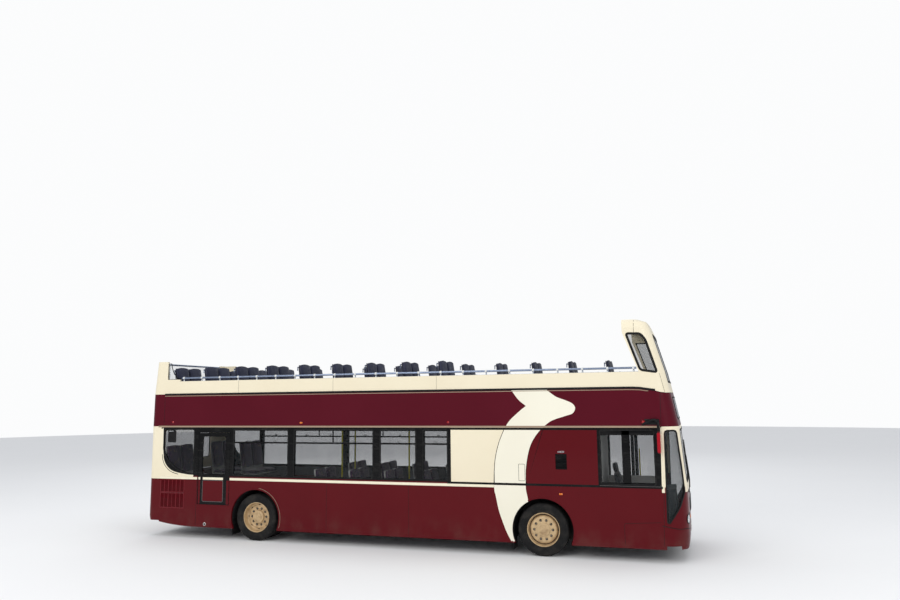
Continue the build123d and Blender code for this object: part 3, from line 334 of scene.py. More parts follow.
def seat_vinyl(name, color):
    """Weatherproof coated fabric of the open deck: leather-like grain, faded in patches."""
    finish = Finish(name, color, roughness=0.52)
    finish.tint(finish.span(finish.noise(3.0, 5.0), 0.42, 0.72, 0.0, 0.4),
                tuple(value * 1.6 + 0.01 for value in color))
    finish.rough(finish.span(finish.noise(12.0, 4.0), 0.45, 0.7), 0.36)
    finish.relief(finish.cells(260.0, "DISTANCE_TO_EDGE"), 0.22, 0.0009)
    finish.relief(finish.noise(40.0, 3.0), 0.08, 0.002)
    return finish.material


def brushed_steel(name, color=(0.6, 0.61, 0.62), roughness=0.28):
    """Brushed stainless tube with handling marks."""
    finish = Finish(name, color, roughness=roughness, metallic=1.0)
    brush = finish.noise(28.0, 6.0, (0.05, 8.0, 8.0))
    finish.rough(finish.span(brush, 0.35, 0.7, 0.0, 0.6), 0.46)
    finish.tint(finish.span(finish.noise(9.0, 5.0), 0.55, 0.75, 0.0, 0.3), rgb(120, 122, 124))
    finish.relief(brush, 0.06, 0.0006)
    return finish.material


def powder_coat(name, color, roughness=0.38):
    """Powder coated tube: fine orange peel, rubbed where hands hold it."""
    finish = Finish(name, color, roughness=roughness, Coat_Weight=0.25, Coat_Roughness=0.2)
    rubbed = finish.span(finish.noise(7.0, 4.0, (1.0, 1.0, 0.5)), 0.5, 0.72)
    finish.tint(finish.maths("MULTIPLY", rubbed, 0.2),
                tuple(min(1.0, value * 1.3 + 0.02) for value in color))
    finish.rough(rubbed, roughness - 0.1)
    finish.relief(finish.noise(330.0, 1.0), 0.12, 0.0008)
    return finish.material


def lamp_glass(name, color, ribs=120.0, alpha=0.55):
    """Moulded lamp lens with fine ribs."""
    finish = Finish(name, color, roughness=0.12, IOR=1.49, Coat_Weight=0.5, Coat_Roughness=0.04)
    glance = finish.add("ShaderNodeLayerWeight")
    glance.inputs["Blend"].default_value = 0.4
    finish.join(finish.span(glance.outputs["Facing"], 0.0, 1.0, alpha, 1.0), finish.shader.inputs["Alpha"])
    optics = finish.maths("ADD", finish.waves(ribs, "Y"), finish.waves(ribs, "Z"))
    finish.tint(finish.maths("MULTIPLY", optics, 0.12), tuple(value * 0.5 for value in color))
    finish.relief(optics, 0.4, 0.0015)
    return finish.material


MAROON = coach_paint("maroon_coach_paint", rgb(84, 4, 14), rgb(92, 8, 18))
# Lighter maroon for the louvre ribs and frame beads: painted highlight on their raised edges.
HIGHLIGHT_MAROON = coach_paint("painted_highlight_maroon", rgb(116, 34, 42), rgb(120, 44, 50))
BAND_MAROON = coach_paint("maroon_band_paint", rgb(80, 6, 24), rgb(88, 12, 30))
CREAM = coach_paint("cream_coach_paint", rgb(232, 222, 196), rgb(222, 210, 182))
PALE_CREAM = coach_paint("pale_cream_film", rgb(236, 232, 214), rgb(228, 222, 202))
BLACK = gloss_black("black_pillar_gloss", 0.0035)
SATIN_BLACK = gloss_black("satin_black_trim", 0.008, 0.42)
BLIND_BLACK = gloss_black("destination_glass_black", 0.006, 0.1, 0.004)
GASKET = rubber("gasket_rubber")
TYRE = tyre_rubber("tyre_rubber")
GLASS = window_glass("saloon_window_glass", (0.004, 0.007, 0.008), 0.22, 0.8)
SCREEN_GLASS = window_glass("windscreen_glass", (0.012, 0.02, 0.022), 0.26, 0.8)
CLEAR_SHEET = window_glass("clear_screen_sheet", (0.5, 0.54, 0.55), 0.09, 0.55)
WHEEL = wheel_enamel("beige_wheel_enamel")
# Dark bronze for the ring in the front rims' recess: painted shade of the recess.
RECESS_SHADE = powder_coat("rim_recess_painted_shade", rgb(78, 58, 42), 0.6)
CHASSIS = painted_steel("chassis_steel", rgb(38, 38, 40), rgb(96, 86, 74))
IRON = painted_steel("engine_iron", rgb(88, 90, 92), rgb(62, 54, 46))
VINYL = floor_vinyl("saloon_floor_vinyl", rgb(78, 82, 92), rgb(158, 160, 168))
DECK_VINYL = floor_vinyl("open_deck_vinyl", rgb(92, 96, 98), rgb(150, 152, 150))
LINER = moulded("arch_liner_plastic", rgb(26, 26, 27), 240.0, 0.7, 0.2)
INTERIOR = moulded("interior_panel_grey", rgb(182, 182, 178), 420.0, 0.55, 0.1)
SHELL = moulded("seat_shell_grey", rgb(196, 194, 190), 460.0, 0.42, 0.12)
NAVY_SHELL = moulded("deck_seat_shell_navy", rgb(24, 30, 58), 460.0, 0.4, 0.2)
DASH = moulded("dashboard_plastic", rgb(44, 44, 48), 620.0, 0.55, 0.12)
MOQUETTE = seat_cloth("purple_moquette", rgb(58, 30, 66), rgb(150, 96, 148), rgb(196, 168, 84))
DRIVER_CLOTH = seat_cloth("driver_seat_cloth", rgb(34, 34, 42), rgb(80, 84, 104), rgb(58, 58, 70))
DECK_CLOTH = seat_vinyl("deck_seat_vinyl", rgb(26, 30, 56))
# Steel darkened and tinted blue: painted reflection of a blue sky in the rails and tubes.
STEEL_SKY_REFLECTION = brushed_steel("handrail_steel_painted_sky_reflection", (0.26, 0.31, 0.42), 0.3)
ALUMINIUM = brushed_steel("aluminium_trim", (0.7, 0.7, 0.69), 0.36)
CHROME = brushed_steel("lamp_reflector_chrome", (0.88, 0.88, 0.88), 0.08)
YELLOW = powder_coat("yellow_pole_coat", rgb(206, 196, 44))
BEIGE_LINE = powder_coat("beige_moulding", rgb(152, 130, 108))
CREAM_LINE = powder_coat("cream_moulding", rgb(234, 226, 200))
# Dark grey: the cab window sill's own colour, and painted highlight on the bead of the emergency door's
# panel.
GREY_TRIM_AND_HIGHLIGHT = powder_coat("grey_trim_and_painted_highlight", rgb(76, 72, 72), 0.3)
NOSING = powder_coat("step_nosing_yellow", rgb(222, 190, 40), 0.6)
PALE_TUBE = powder_coat("pale_grab_tube", rgb(206, 208, 206))
CLEAR_LENS = lamp_glass("clear_lamp_lens", (0.75, 0.78, 0.8), 140.0, 0.3)
AMBER_LENS = lamp_glass("amber_lamp_lens", rgb(232, 118, 16), 160.0, 0.85)
RED_LENS = lamp_glass("red_lamp_lens", rgb(168, 10, 14), 160.0, 0.85)
LINING = moulded("deck_lining_grey", rgb(176, 174, 164), 300.0, 0.6, 0.12)
SALOON_LINING = moulded("saloon_lining_grey", rgb(92, 92, 96), 380.0, 0.6, 0.12)
WHITE_PLATE = moulded("blank_plate_white", rgb(236, 236, 232), 700.0, 0.35, 0.05)
YELLOW_PLATE = moulded("blank_plate_yellow", rgb(230, 190, 44), 700.0, 0.35, 0.05)
MIRROR_RED = coach_paint("mirror_case_red", rgb(156, 14, 30), rgb(146, 20, 32))
MIRROR_GLASS = brushed_steel("mirror_silver", (0.9, 0.91, 0.92), 0.03)

NODE_FINISH = {
    "skirt_offside": MAROON, "skirt_nearside": MAROON, "front_lower_panel": MAROON,
"rear_lower_panel": MAROON,
    "engine_lid": MAROON, "deck_band": BAND_MAROON, "front_band": BAND_MAROON, "rear_band": BAND_MAROON,
    "upper_panels": CREAM, "rear_upper_panel": CREAM, "front_dome": CREAM, "front_screen_frame": CREAM,
    "rear_window_frame": CREAM, "window_frame_offside": BLACK, "window_frame_nearside": BLACK,
    "saloon_glass": GLASS, "front_glass": SCREEN_GLASS, "upper_screens": CLEAR_SHEET, "upper_rails": STEEL_SKY_REFLECTION,
    "chassis_frame": CHASSIS, "cross_members": CHASSIS, "front_axle_beam": CHASSIS, "rear_axle": CHASSIS,
    "knuckle_left": IRON, "knuckle_right": IRON, "track_rod": CHASSIS, "engine": IRON,
"wheel_arches": LINER,
    "lower_floor": VINYL, "gangway_step": VINYL, "upper_floor": DECK_VINYL, "staircase": VINYL,
    "lower_seats": SHELL, "upper_seats": NAVY_SHELL, "driver_seat": DRIVER_CLOTH, "dashboard": DASH,
    "cab_partition": INTERIOR, "poles": YELLOW, "mirrors": SATIN_BLACK, "lamps": CHROME,
    "front_tyre_left": TYRE, "front_tyre_right": TYRE, "rear_tyres_left": TYRE, "rear_tyres_right": TYRE,
    "front_rim_left": WHEEL, "front_rim_right": WHEEL, "rear_rims_left": WHEEL, "rear_rims_right": WHEEL,
    "gutters": SATIN_BLACK, "arch_lips": MAROON, "steering_wheel": DASH, "emergency_door": BLACK,
    "entrance_leaf_front": BLACK, "entrance_leaf_rear": BLACK,
}


def dress_nodes():
    """Give every carried-over solid its finish."""
    for name, node in NODES.items():
        material = NODE_FINISH[name]
        if not node.material_slots:
            node.data.materials.append(material)
        for slot in node.material_slots:
            slot.material = material


def rising_skirts():
    """Skirts whose lower edge rises from the rear wheel to the rear corner."""
    edge = ((-4.33, 0.2302), (-4.5, 0.2325), (-4.7, 0.241), (-4.9, 0.257), (-5.05, 0.275), (-5.2, 0.298),
            (-5.3, 0.317))
    for sign, name in ((-1, "skirt_offside"), (1, "skirt_nearside")):
        whole = NODES[name].data.copy()
        form = bmesh.new()
        form.from_mesh(whole)
        bmesh.ops.remove_doubles(form, verts=form.verts, dist=1e-5)
        form.to_mesh(whole)
        form.free()
        skirt = bpy.data.objects.new(name + "_whole", whole)
        wedge = Form()
        outline = [(x, z) for x, z in edge] + [(-5.3, 0.1), (-4.33, 0.1)]
        wedge.rings([[(x, sign * y, z) for x, z in outline] for y in (1.1, 1.4)])
        cutter = bpy.data.objects.new(name + "_wedge", wedge.done("wedge"))
        for thing in (skirt, cutter):
            bpy.context.collection.objects.link(thing)
        cut = skirt.modifiers.new("cut", "BOOLEAN")
        cut.operation, cut.solver, cut.object = "DIFFERENCE", "EXACT", cutter
        mesh = bpy.data.meshes.new_from_object(skirt.evaluated_get(bpy.context.evaluated_depsgraph_get()))
        for thing in (skirt, cutter):
            bpy.data.objects.remove(thing)
        mesh.transform(Matrix.Translation((-DATUM, 0, 0)))
        mesh.materials.clear()
        piece = place_mesh(mesh, name + "_rising", MAROON)
        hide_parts(name)


class Form:
    """Mesh of one piece, put together from bars, plates, tubes, mouldings and turned shapes."""

    def __init__(self):
        self.mesh = bmesh.new()

    def bar(self, low, high, edge=0.002, steps=1):
        """Block between two corners with its edges rounded."""
        low, high = Vector(map(min, low, high)), Vector(map(max, low, high))
        made = bmesh.ops.create_cube(self.mesh, size=1.0)["verts"]
        middle, size = (low + high) / 2, high - low
        for vert in made:
            vert.co = Vector(vert.co[i] * size[i] for i in range(3)) + middle
        if edge:
            edges = list({e for vert in made for e in vert.link_edges})
            offset = min(edge, 0.45 * min(size))
            bmesh.ops.bevel(self.mesh, geom=edges, offset=offset, segments=steps, profile=0.5,
                            affect="EDGES")
        return self

    def rings(self, rings, closed=False):
        """Skin over rings that have the same number of points."""
        rows = [[self.mesh.verts.new(point) for point in ring] for ring in rings]
        pairs = list(zip(rows, rows[1:]))
        if closed:
            pairs.append((rows[-1], rows[0]))
        for first, second in pairs:
            count = len(first)
            for i in range(count):
                j = (i + 1) % count
                self.mesh.faces.new((first[i], first[j], second[j], second[i]))
        if not closed:
            self.mesh.faces.new(rows[0][::-1])
            self.mesh.faces.new(rows[-1])
        return self

    def sweep(self, path, outward, section, closed=False):
        """Sweep (outward, aside) section points along a path; outward is one vector or one per point."""
        points = [Vector(p) for p in path]
        count = len(points)
        rings = []
        for i, point in enumerate(points):
            before = points[i - 1] if i or closed else point
            after = points[(i + 1) % count] if i < count - 1 or closed else point
            along = (after - before).normalized()
            out = Vector(outward[i] if isinstance(outward[0],
                                                  (tuple, list, Vector)) else outward).normalized()
            aside = along.cross(out).normalized()
            stretch = 1.0
            if point != before and point != after:
                turn = (point - before).normalized().dot((after - point).normalized())
                stretch = 1 / math.sqrt(max(0.25, (1 + turn) / 2))
            rings.append([point + out * u + aside * (v * stretch) for u, v in section])
        return self.rings(rings, closed)

    def tube(self, path, radius, sides=10):
        """Round tube along a path, without twist."""
        points = [Vector(p) for p in path]
        last = len(points) - 1
        out = None
        rings = []
        for i, point in enumerate(points):
            along = (points[min(i + 1, last)] - points[max(i - 1, 0)]).normalized()
            if out is None:
                out = along.orthogonal().normalized()
            out = (out - along * out.dot(along)).normalized()
            aside = along.cross(out)
            rings.append([
                point + (out * math.cos(a) + aside * math.sin(a)) * radius
                for a in (2 * math.pi * k / sides for k in range(sides))])
        return self.rings(rings)

    def turned(self, profile, centre, axis=(0.0, 1.0, 0.0), steps=32, closed=False, shift=None):
        """Turn (radius, along) points about an axis; closed joins the ends, and radius 0 closes them."""
        axis = Vector(axis).normalized()
        centre = Vector(centre)
        first = axis.orthogonal().normalized()
        second = axis.cross(first)
        rows = []
        for k in range(steps):
            angle = 2 * math.pi * k / steps
            spoke = first * math.cos(angle) + second * math.sin(angle)
            row = []
            for i, (radius, along) in enumerate(profile):
                if shift is not None:
                    radius, along = shift(i, k, radius, along)
                row.append(centre + spoke * radius + axis * along)
            rows.append(row)
        poles = {}
        made = []
        for row in rows:
            line = []
            for i, point in enumerate(row):
                if profile[i][0] == 0:
                    if i not in poles:
                        poles[i] = self.mesh.verts.new(point)
                    line.append(poles[i])
                else:
                    line.append(self.mesh.verts.new(point))
            made.append(line)
        span = len(profile) if closed else len(profile) - 1
        for k in range(steps):
            a, b = made[k], made[(k + 1) % steps]
            for i in range(span):
                j = (i + 1) % len(profile)
                corners = []
                for vert in (a[i], a[j], b[j], b[i]):
                    if vert not in corners:
                        corners.append(vert)
                if len(corners) > 2:
                    self.mesh.faces.new(corners)
        return self

    def sheet(self, outline, place, depth):
        """Flat sheet: outline of (u, v) points, place turns (u, v, depth) into a point."""
        front = [self.mesh.verts.new(place(u, v, 0.0)) for u, v in outline]
        back = [self.mesh.verts.new(place(u, v, depth)) for u, v in outline]
        count = len(outline)
        for a, b, c in tessellate_polygon([[Vector((u, v, 0)) for u, v in outline]]):
            self.mesh.faces.new((front[a], front[b], front[c]))
            self.mesh.faces.new((back[c], back[b], back[a]))
        for i in range(count):
            j = (i + 1) % count
            self.mesh.faces.new((front[i], back[i], back[j], front[j]))
        return self

    def add(self, mesh, matrix=None):
        """Add a finished mesh, moved by a matrix."""
        before = len(self.mesh.verts)
        self.mesh.from_mesh(mesh)
        self.mesh.verts.ensure_lookup_table()
        if matrix is not None:
            bmesh.ops.transform(self.mesh, matrix=matrix, verts=self.mesh.verts[before:])
        return self

    def done(self, name, smooth=40.0):
        """The mesh, closed faces turned outward and flat edges kept sharp."""
        bmesh.ops.remove_doubles(self.mesh, verts=self.mesh.verts, dist=1e-6)
        bmesh.ops.recalc_face_normals(self.mesh, faces=self.mesh.faces)
        mesh = bpy.data.meshes.new(name)
        self.mesh.to_mesh(mesh)
        self.mesh.free()
        mesh.shade_smooth()
        mesh.set_sharp_from_angle(angle=math.radians(smooth))
        return mesh

    def piece(self, name, material, body="body", slot=None, smooth=40.0):
        """Place the form in the scene as a piece that rides on a body."""
        return place_mesh(self.done(name, smooth), name, material, body)


def place_mesh(mesh, name, material, body="body"):
    """Put a mesh in the scene as a piece with one finish, moved from the drawing's zero."""
    mesh.transform(Matrix.Translation((DATUM, 0, 0)))
    piece = bpy.data.objects.new(name, mesh)
    bpy.context.scene.collection.objects.link(piece)
    mesh.materials.clear()
    mesh.materials.append(material)
    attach(piece, body)
    return piece


def curve_through(points, steps=8):
    """Smooth line through points (Catmull-Rom)."""
    points = [Vector(p) for p in points]
    count = len(points)
    line = []
    for i in range(count - 1):
        p1, p2 = points[i], points[i + 1]
        p0 = points[i - 1] if i else p1 * 2 - p2
        p3 = points[i + 2] if i + 2 < count else p2 * 2 - p1
        for k in range(steps):
            t = k / steps
            line.append(0.5 * (2 * p1 + (p2 - p0) * t + (2 * p0 - 5 * p1 + 4 * p2 - p3) * t * t
                               + (3 * p1 - p0 - 3 * p2 + p3) * t ** 3))
    line.append(points[-1])
    return line

def smooth_outline(*runs):
    """Closed outline from runs of (x, z) points; each run is smooth, and runs meet at corners."""
    outline = []
    for run in runs:
        points = [Vector((x, 0, z)) for x, z in run]
        line = curve_through(points) if len(points) > 2 else points
        for point in line:
            spot = (point.x, point.z)
            if not outline or (Vector(outline[-1]) - Vector(spot)).length > 1e-4:
                outline.append(spot)
    if (Vector(outline[0]) - Vector(outline[-1])).length < 1e-4:
        outline.pop()
    return outline


def rounded(x0, x1, z0, z1, radius, steps=5):
    """Outline of a rounded rectangle, anticlockwise."""
    outline = []
    for cx, cz, start in ((x1 - radius, z0 + radius, -90), (x1 - radius, z1 - radius, 0),
                          (x0 + radius, z1 - radius, 90), (x0 + radius, z0 + radius, 180)):
        for k in range(steps + 1):
            angle = math.radians(start + 90 * k / steps)
            outline.append((cx + radius * math.cos(angle), cz + radius * math.sin(angle)))
    return outline


def nose_level(z):
    """Nose X, corner length and half width of the plan at a height."""
    for low, high in zip(NOSE_LEVELS, NOSE_LEVELS[1:]):
        if low[0] <= z <= high[0]:
            share = (z - low[0]) / (high[0] - low[0])
            return tuple(a + share * (b - a) for a, b in zip(low[1:], high[1:]))
    raise ValueError(z)


def skin_level(z):
    """Nose level of a spot on the skin, also just past the ends of the table."""
    return nose_level(min(max(z, 0.231), 4.204))

def corner_circle(corner):
    """How far a front corner turns across the bus, and the radius of its arc."""
    turn = CORNER_RATIO * corner
    return turn, (corner ** 2 + turn ** 2) / (2 * turn)

def nose_circle(end_y):
    """Radius of the arc across the nose that ends at a half width."""
    return (end_y ** 2 + NOSE_BULGE ** 2) / (2 * NOSE_BULGE)

def nose_path(z, corner_steps=10, nose_steps=20):
    """Points and outward directions round the front end at a height, offside first."""
    nose, corner, half = nose_level(z)
    turn, radius = corner_circle(corner)
    side_x = nose - NOSE_BULGE - corner
    end_angle = math.atan2(radius - turn, corner)
    end_y = half - radius + radius * math.sin(end_angle)
    big = nose_circle(end_y)
    start_angle = math.pi / 2
    corner_line = []
    for k in range(corner_steps):
        angle = start_angle + (end_angle - start_angle) * k / corner_steps
        out = Vector((math.cos(angle), -math.sin(angle), 0))
        corner_line.append((Vector((side_x, -(half - radius), z)) + out * radius, out))
    spread = math.asin(end_y / big)
    middle = []
    for k in range(nose_steps + 1):
        angle = -spread + 2 * spread * k / nose_steps
        out = Vector((math.cos(angle), math.sin(angle), 0))
        middle.append((Vector((nose - big, 0, z)) + out * big, out))
    other = [(Vector((p.x, -p.y, p.z)), Vector((o.x, -o.y, 0))) for p, o in reversed(corner_line)]
    return corner_line + middle + other


def tail_path(z, tail=REAR, start=-5.4):
    """Points and outward directions round the rear end at a height, offside first."""
    radius, steps = 0.14, 12
    half = [(Vector((start, -SIDE, z)), Vector((0, -1, 0)))]
    for k in range(steps + 1):
        angle = math.radians(270 - 90 * k / steps)
        out = Vector((math.cos(angle), math.sin(angle), 0))
        half.append((Vector((tail + radius, radius - SIDE, z)) + out * radius, out))
    other = [(Vector((p.x, -p.y, p.z)), Vector((o.x, -o.y, 0))) for p, o in reversed(half)]
    return half + other


def side_place(sign, proud=0.0):
    """Placer for sheets on a side wall: (x, z, depth) goes outward from the wall."""
    return lambda x, z, depth: Vector((x, sign * (SIDE + proud + depth), z))


def side_path(outline, sign, proud=0.0):
    """An outline's points on a side wall."""
    return [(x, sign * (SIDE + proud), z) for x, z in outline]

def arch_point(axle, radius, angle, sign):
    """Point on a side wall, round an axle by an angle in degrees."""
    turn = math.radians(angle)
    return axle + radius * math.cos(turn), sign * SIDE, HUB_Z + radius * math.sin(turn)


def bead(width, rise):
    """Half-round section of a moulding: (outward, aside) points."""
    points = [(-0.001, -width / 2)]
    for k in range(5):
        angle = math.pi * k / 4
        points.append((rise * math.sin(angle) ** 0.7, -width / 2 * math.cos(angle)))
    points.append((-0.001, width / 2))
    return points


def flat_strip(width, rise):
    """Section of a flat strip with eased edges."""
    half = width / 2
    ease = min(rise * 0.6, half * 0.5)
    return [(-0.001, -half), (rise - ease, -half), (rise, -half + ease), (rise, half - ease),
            (rise - ease, half),
            (-0.001, half)]


# Lines of the livery on the side, (x, z)
ARROW_TOP = ((2.45, 2.985), (2.5, 2.925), (2.6, 2.79), (2.738, 2.674))
ARROW_LOW = ((2.738, 2.674), (2.618, 2.581), (2.463, 2.447), (2.38, 2.35), (2.352, 2.29))
NOSE_EDGE = ((3.05, 2.29), (3.148, 2.369), (3.254, 2.424), (3.465, 2.491), (3.591, 2.535), (3.641, 2.626),
             (3.596, 2.708), (3.472, 2.77), (3.306, 2.834), (3.161, 2.939), (3.12, 2.985))
PANEL_SEAM = ((2.105, 1.24), (2.108, 1.481), (2.134, 1.729), (2.204, 1.999), (2.307, 2.239), (2.34, 2.29))
STAIR_EDGE = ((2.699, 1.24), (2.701, 1.36), (2.709, 1.532), (2.741, 1.737), (2.798, 1.942), (2.887, 2.107),
              (2.996, 2.24), (3.05, 2.29))
LEG_REAR = ((2.105, 1.24), (2.115, 1.12), (2.134, 1.049), (2.184, 0.806), (2.257, 0.585), (2.329, 0.406),
            (2.412, 0.25))

# How far painted plates stand proud of the skin, and how deep they reach into it
PLATE = 0.0016
PLATE_ROOT = 0.0004

# Where the rear corner begins, the waist stripe, the top of the side panels, and the vent in them
CORNER_START = -5.285
STRIPE_LOW = 1.196
STRIPE_HIGH = 1.246
PANEL_TOP = 2.285
SIDE_VENT = (3.255, 3.46, 1.54, 1.815)


# Rear and lower edge of the rearmost side window
QUARTER_EDGE = [tuple(p) for p in curve_through([(-5.259, 0, 2.272), (-5.238, 0, 1.761), (-5.197, 0, 1.553),
                                                 (-5.08, 0, 1.412), (-4.918, 0, 1.337), (-4.633, 0, 1.291),
                                                 (-4.45, 0, 1.282)], 6)]


def side_film(name, outlines, material, slot, sides=(-1, 1)):
    """Thin painted plates on the side walls."""
    form = Form()
    for sign in sides:
        for outline in outlines:
            form.sheet(outline, side_place(sign, -PLATE_ROOT), PLATE + PLATE_ROOT)
    form.piece(name, material, slot=slot, smooth=20)

def livery():
    """Paint of the sides: swoosh, panels, leg down to the front arch, waist stripe and cream corners."""
    swoosh = smooth_outline(ARROW_TOP, ARROW_LOW, NOSE_EDGE)
    side_film("band_swoosh", [swoosh], PALE_CREAM, slot="cream_paint")
    beige = smooth_outline(((1.277, PANEL_TOP), (1.277, WAIST)), ((1.277, WAIST), (2.099, WAIST)),
                           PANEL_SEAM[1:])
    side_film("mid_panel_cream", [beige], CREAM, sides=(-1,), slot="cream_paint")
    seam = [(x + 0.012, z) for x, z in PANEL_SEAM[1:]]
    pale = smooth_outline(seam[::-1], ((seam[0][0], WAIST), (2.699, WAIST)), STAIR_EDGE[1:])
    side_film("mid_panel_pale", [pale], PALE_CREAM, sides=(-1,), slot="cream_paint")
    stair = smooth_outline(STAIR_EDGE[1:], ((3.06, PANEL_TOP), (4.008, PANEL_TOP)),
                           ((4.008, PANEL_TOP), (4.008, WAIST)),
                           ((4.008, WAIST), (2.712, WAIST)))
    stair = [(x + (0.008 if x < 3.99 else 0), z) for x, z in stair]
    x0, x1, z0, z1 = SIDE_VENT
    middle = (x0 + x1) / 2
    rear = [(x, z) for x, z in stair if x < middle and z < PANEL_TOP - 0.001 and (x < 2.72 or z > WAIST)]
    behind = rear + [(3.06, PANEL_TOP), (middle, PANEL_TOP), (middle, z1), (x0, z1), (x0, z0), (middle, z0),
                     (middle, WAIST),
                     (2.72, WAIST)]
    ahead = [(middle, WAIST), (4.008, WAIST), (4.008, PANEL_TOP), (middle, PANEL_TOP), (middle, z1),
             (x1, z1), (x1, z0),
             (middle, z0)]
    side_film("stair_panel", [behind, ahead], MAROON, sides=(-1,), slot="maroon_paint")
    arch = [arch_point(AXLE_FRONT, LIP_RADIUS + 0.002, angle, 1)[::2] for angle in range(116, 203, 3)]
    leg = smooth_outline(LEG_REAR, ((2.412, 0.25), arch[-1]))
    leg += arch[::-1] + [(2.72, 1.08), (2.708, 1.13), (2.7, 1.19), (2.699, 1.24)]
    side_film("front_leg", [leg], PALE_CREAM, slot="cream_paint")
    strips = Form()
    for sign, runs in ((-1, ((CORNER_START, -4.35), (-3.555, 2.104))), (1, ((CORNER_START, 2.104),))):
        for x0, x1 in runs:
            strips.bar((x0, sign * (SIDE - 0.001), STRIPE_LOW), (x1, sign * (SIDE + PLATE), STRIPE_HIGH),
                       0.0008)
    strips.piece("waist_stripe", CREAM_LINE, slot="cream_paint")
    post = [(5.081, 1.178), (5.13, 1.178), (5.13, 1.272), (5.119, 1.272), (5.119, PANEL_TOP),
            (5.103, PANEL_TOP)]
    side_film("front_post_edge", [post], CREAM, slot="cream_paint")
    corner = [(x, z) for x, _, z in QUARTER_EDGE] + [(-4.45, 1.247), (CORNER_START, 1.247),
                                                     (CORNER_START, 2.272)]
    side_film("quarter_corner", [corner], CREAM, slot="cream_paint")
    foot = Form()
    levels = [pair for pair in zip(nose_path(1.178, 48, 20),
                                   nose_path(1.274, 48, 20)) if pair[0][0].x > 5.462]
    foot.rings([film_section(*pair) for pair in levels])
    foot.piece("screen_foot_cream", CREAM, slot="cream_paint")
    ends = Form()
    for keep in (-1, 1):
        rings = []
        for (point, out), (above, _) in zip(tail_path(STRIPE_LOW, start=CORNER_START),
                                            tail_path(1.272, start=CORNER_START)):
            if point.y * keep > 0:
                turned = max(0.0, math.degrees(math.asin(min(1.0, -out.x))) - 50) / 40
                point.z += 0.076 * turned ** 2
                if above.z - point.z > 0.002:
                    rings.append(film_section((point, out), (above, out)))
        ends.rings(rings)
    ends.piece("rear_corner_cream", CREAM, slot="cream_paint")


def film_section(lower, upper):
    """Section of a thin film on a curved wall, between two spots with their outward directions."""
    (low, out), (high, beyond) = lower, upper
    return [low - out * 0.0006, low + out * PLATE, high + beyond * PLATE, high - beyond * 0.0006]


def nose_spot(y, z, proud=0.0):
    """Point and outward normal on the slightly curved nose."""
    def skin_x(side, level):
        nose, corner, half = skin_level(level)
        big = nose_circle(half - CORNER_RATIO * corner)
        return nose - big + math.sqrt(big ** 2 - side ** 2)
    step = 0.004
    slope_y = (skin_x(y + step, z) - skin_x(y - step, z)) / (2 * step)
    slope_z = (skin_x(y, z + step) - skin_x(y, z - step)) / (2 * step)
    normal = Vector((1, -slope_y, -slope_z)).normalized()
    return Vector((skin_x(y, z), y, z)) + normal * proud, normal


def nose_plate(form, half, low, high, radius, proud):
    """Plate with rounded corners that follows the curved nose."""
    rings = []
    for k in range(33):
        y = half * math.sin(math.pi * (k / 32 - 0.5)) * 0.9999
        reach = max(0.0, abs(y) - half + radius)
        ease = radius - math.sqrt(radius ** 2 - reach ** 2)
        spots = [nose_spot(y, low + ease + (high - low - 2 * ease) * i / 4) for i in range(5)]
        rings.append([p + n * proud for p, n in spots] + [p - n * 0.002 for p, n in reversed(spots)])
    form.rings(rings)


def corner_spot(sign, x, z):
    """Point and outward normal on a side wall or a front corner."""
    def half_at(along, level):
        nose, corner, half = skin_level(level)
        radius = corner_circle(corner)[1]
        start = nose - NOSE_BULGE - corner
        if along <= start:
            return half
        return half - radius + math.sqrt(max(1e-6, radius ** 2 - (along - start) ** 2))
    step = 0.003
    slope_x = (half_at(x + step, z) - half_at(x - step, z)) / (2 * step)
    slope_z = (half_at(x, z + step) - half_at(x, z - step)) / (2 * step)
    normal = Vector((-slope_x, sign, -slope_z)).normalized()
    return Vector((x, sign * half_at(x, z), z)), normal


def skin_sweep(form, spots, section, closed=False):
    """Sweep a section along spots that carry their own outward direction."""
    return form.sweep([p for p, _ in spots], [n for _, n in spots], section, closed)


def dense(points, gap=0.05, closed=False):
    """Points with extra ones between, so that a line follows a curved skin."""
    line = []
    pairs = list(zip(points, points[1:]))
    if closed:
        pairs.append((points[-1], points[0]))
    for a, b in pairs:
        a, b = Vector(a), Vector(b)
        count = max(1, round((b - a).length / gap))
        line.extend(a.lerp(b, k / count) for k in range(count))
    if not closed:
        line.append(Vector(points[-1]))
    return [tuple(p) for p in line]


def eased(outline, radius):
    """Closed outline with its corners rounded."""
    count = len(outline)
    line = []
    for i in range(count):
        corner = Vector(outline[i])
        before, after = Vector(outline[i - 1]), Vector(outline[(i + 1) % count])
        reach = min(radius, 0.45 * (before - corner).length, 0.45 * (after - corner).length)
        start = corner + (before - corner).normalized() * reach
        end = corner + (after - corner).normalized() * reach
        for k in range(5):
            t = k / 4
            line.append(tuple(start * (1 - t) ** 2 + corner * (2 * t * (1 - t)) + end * t ** 2))
    return line


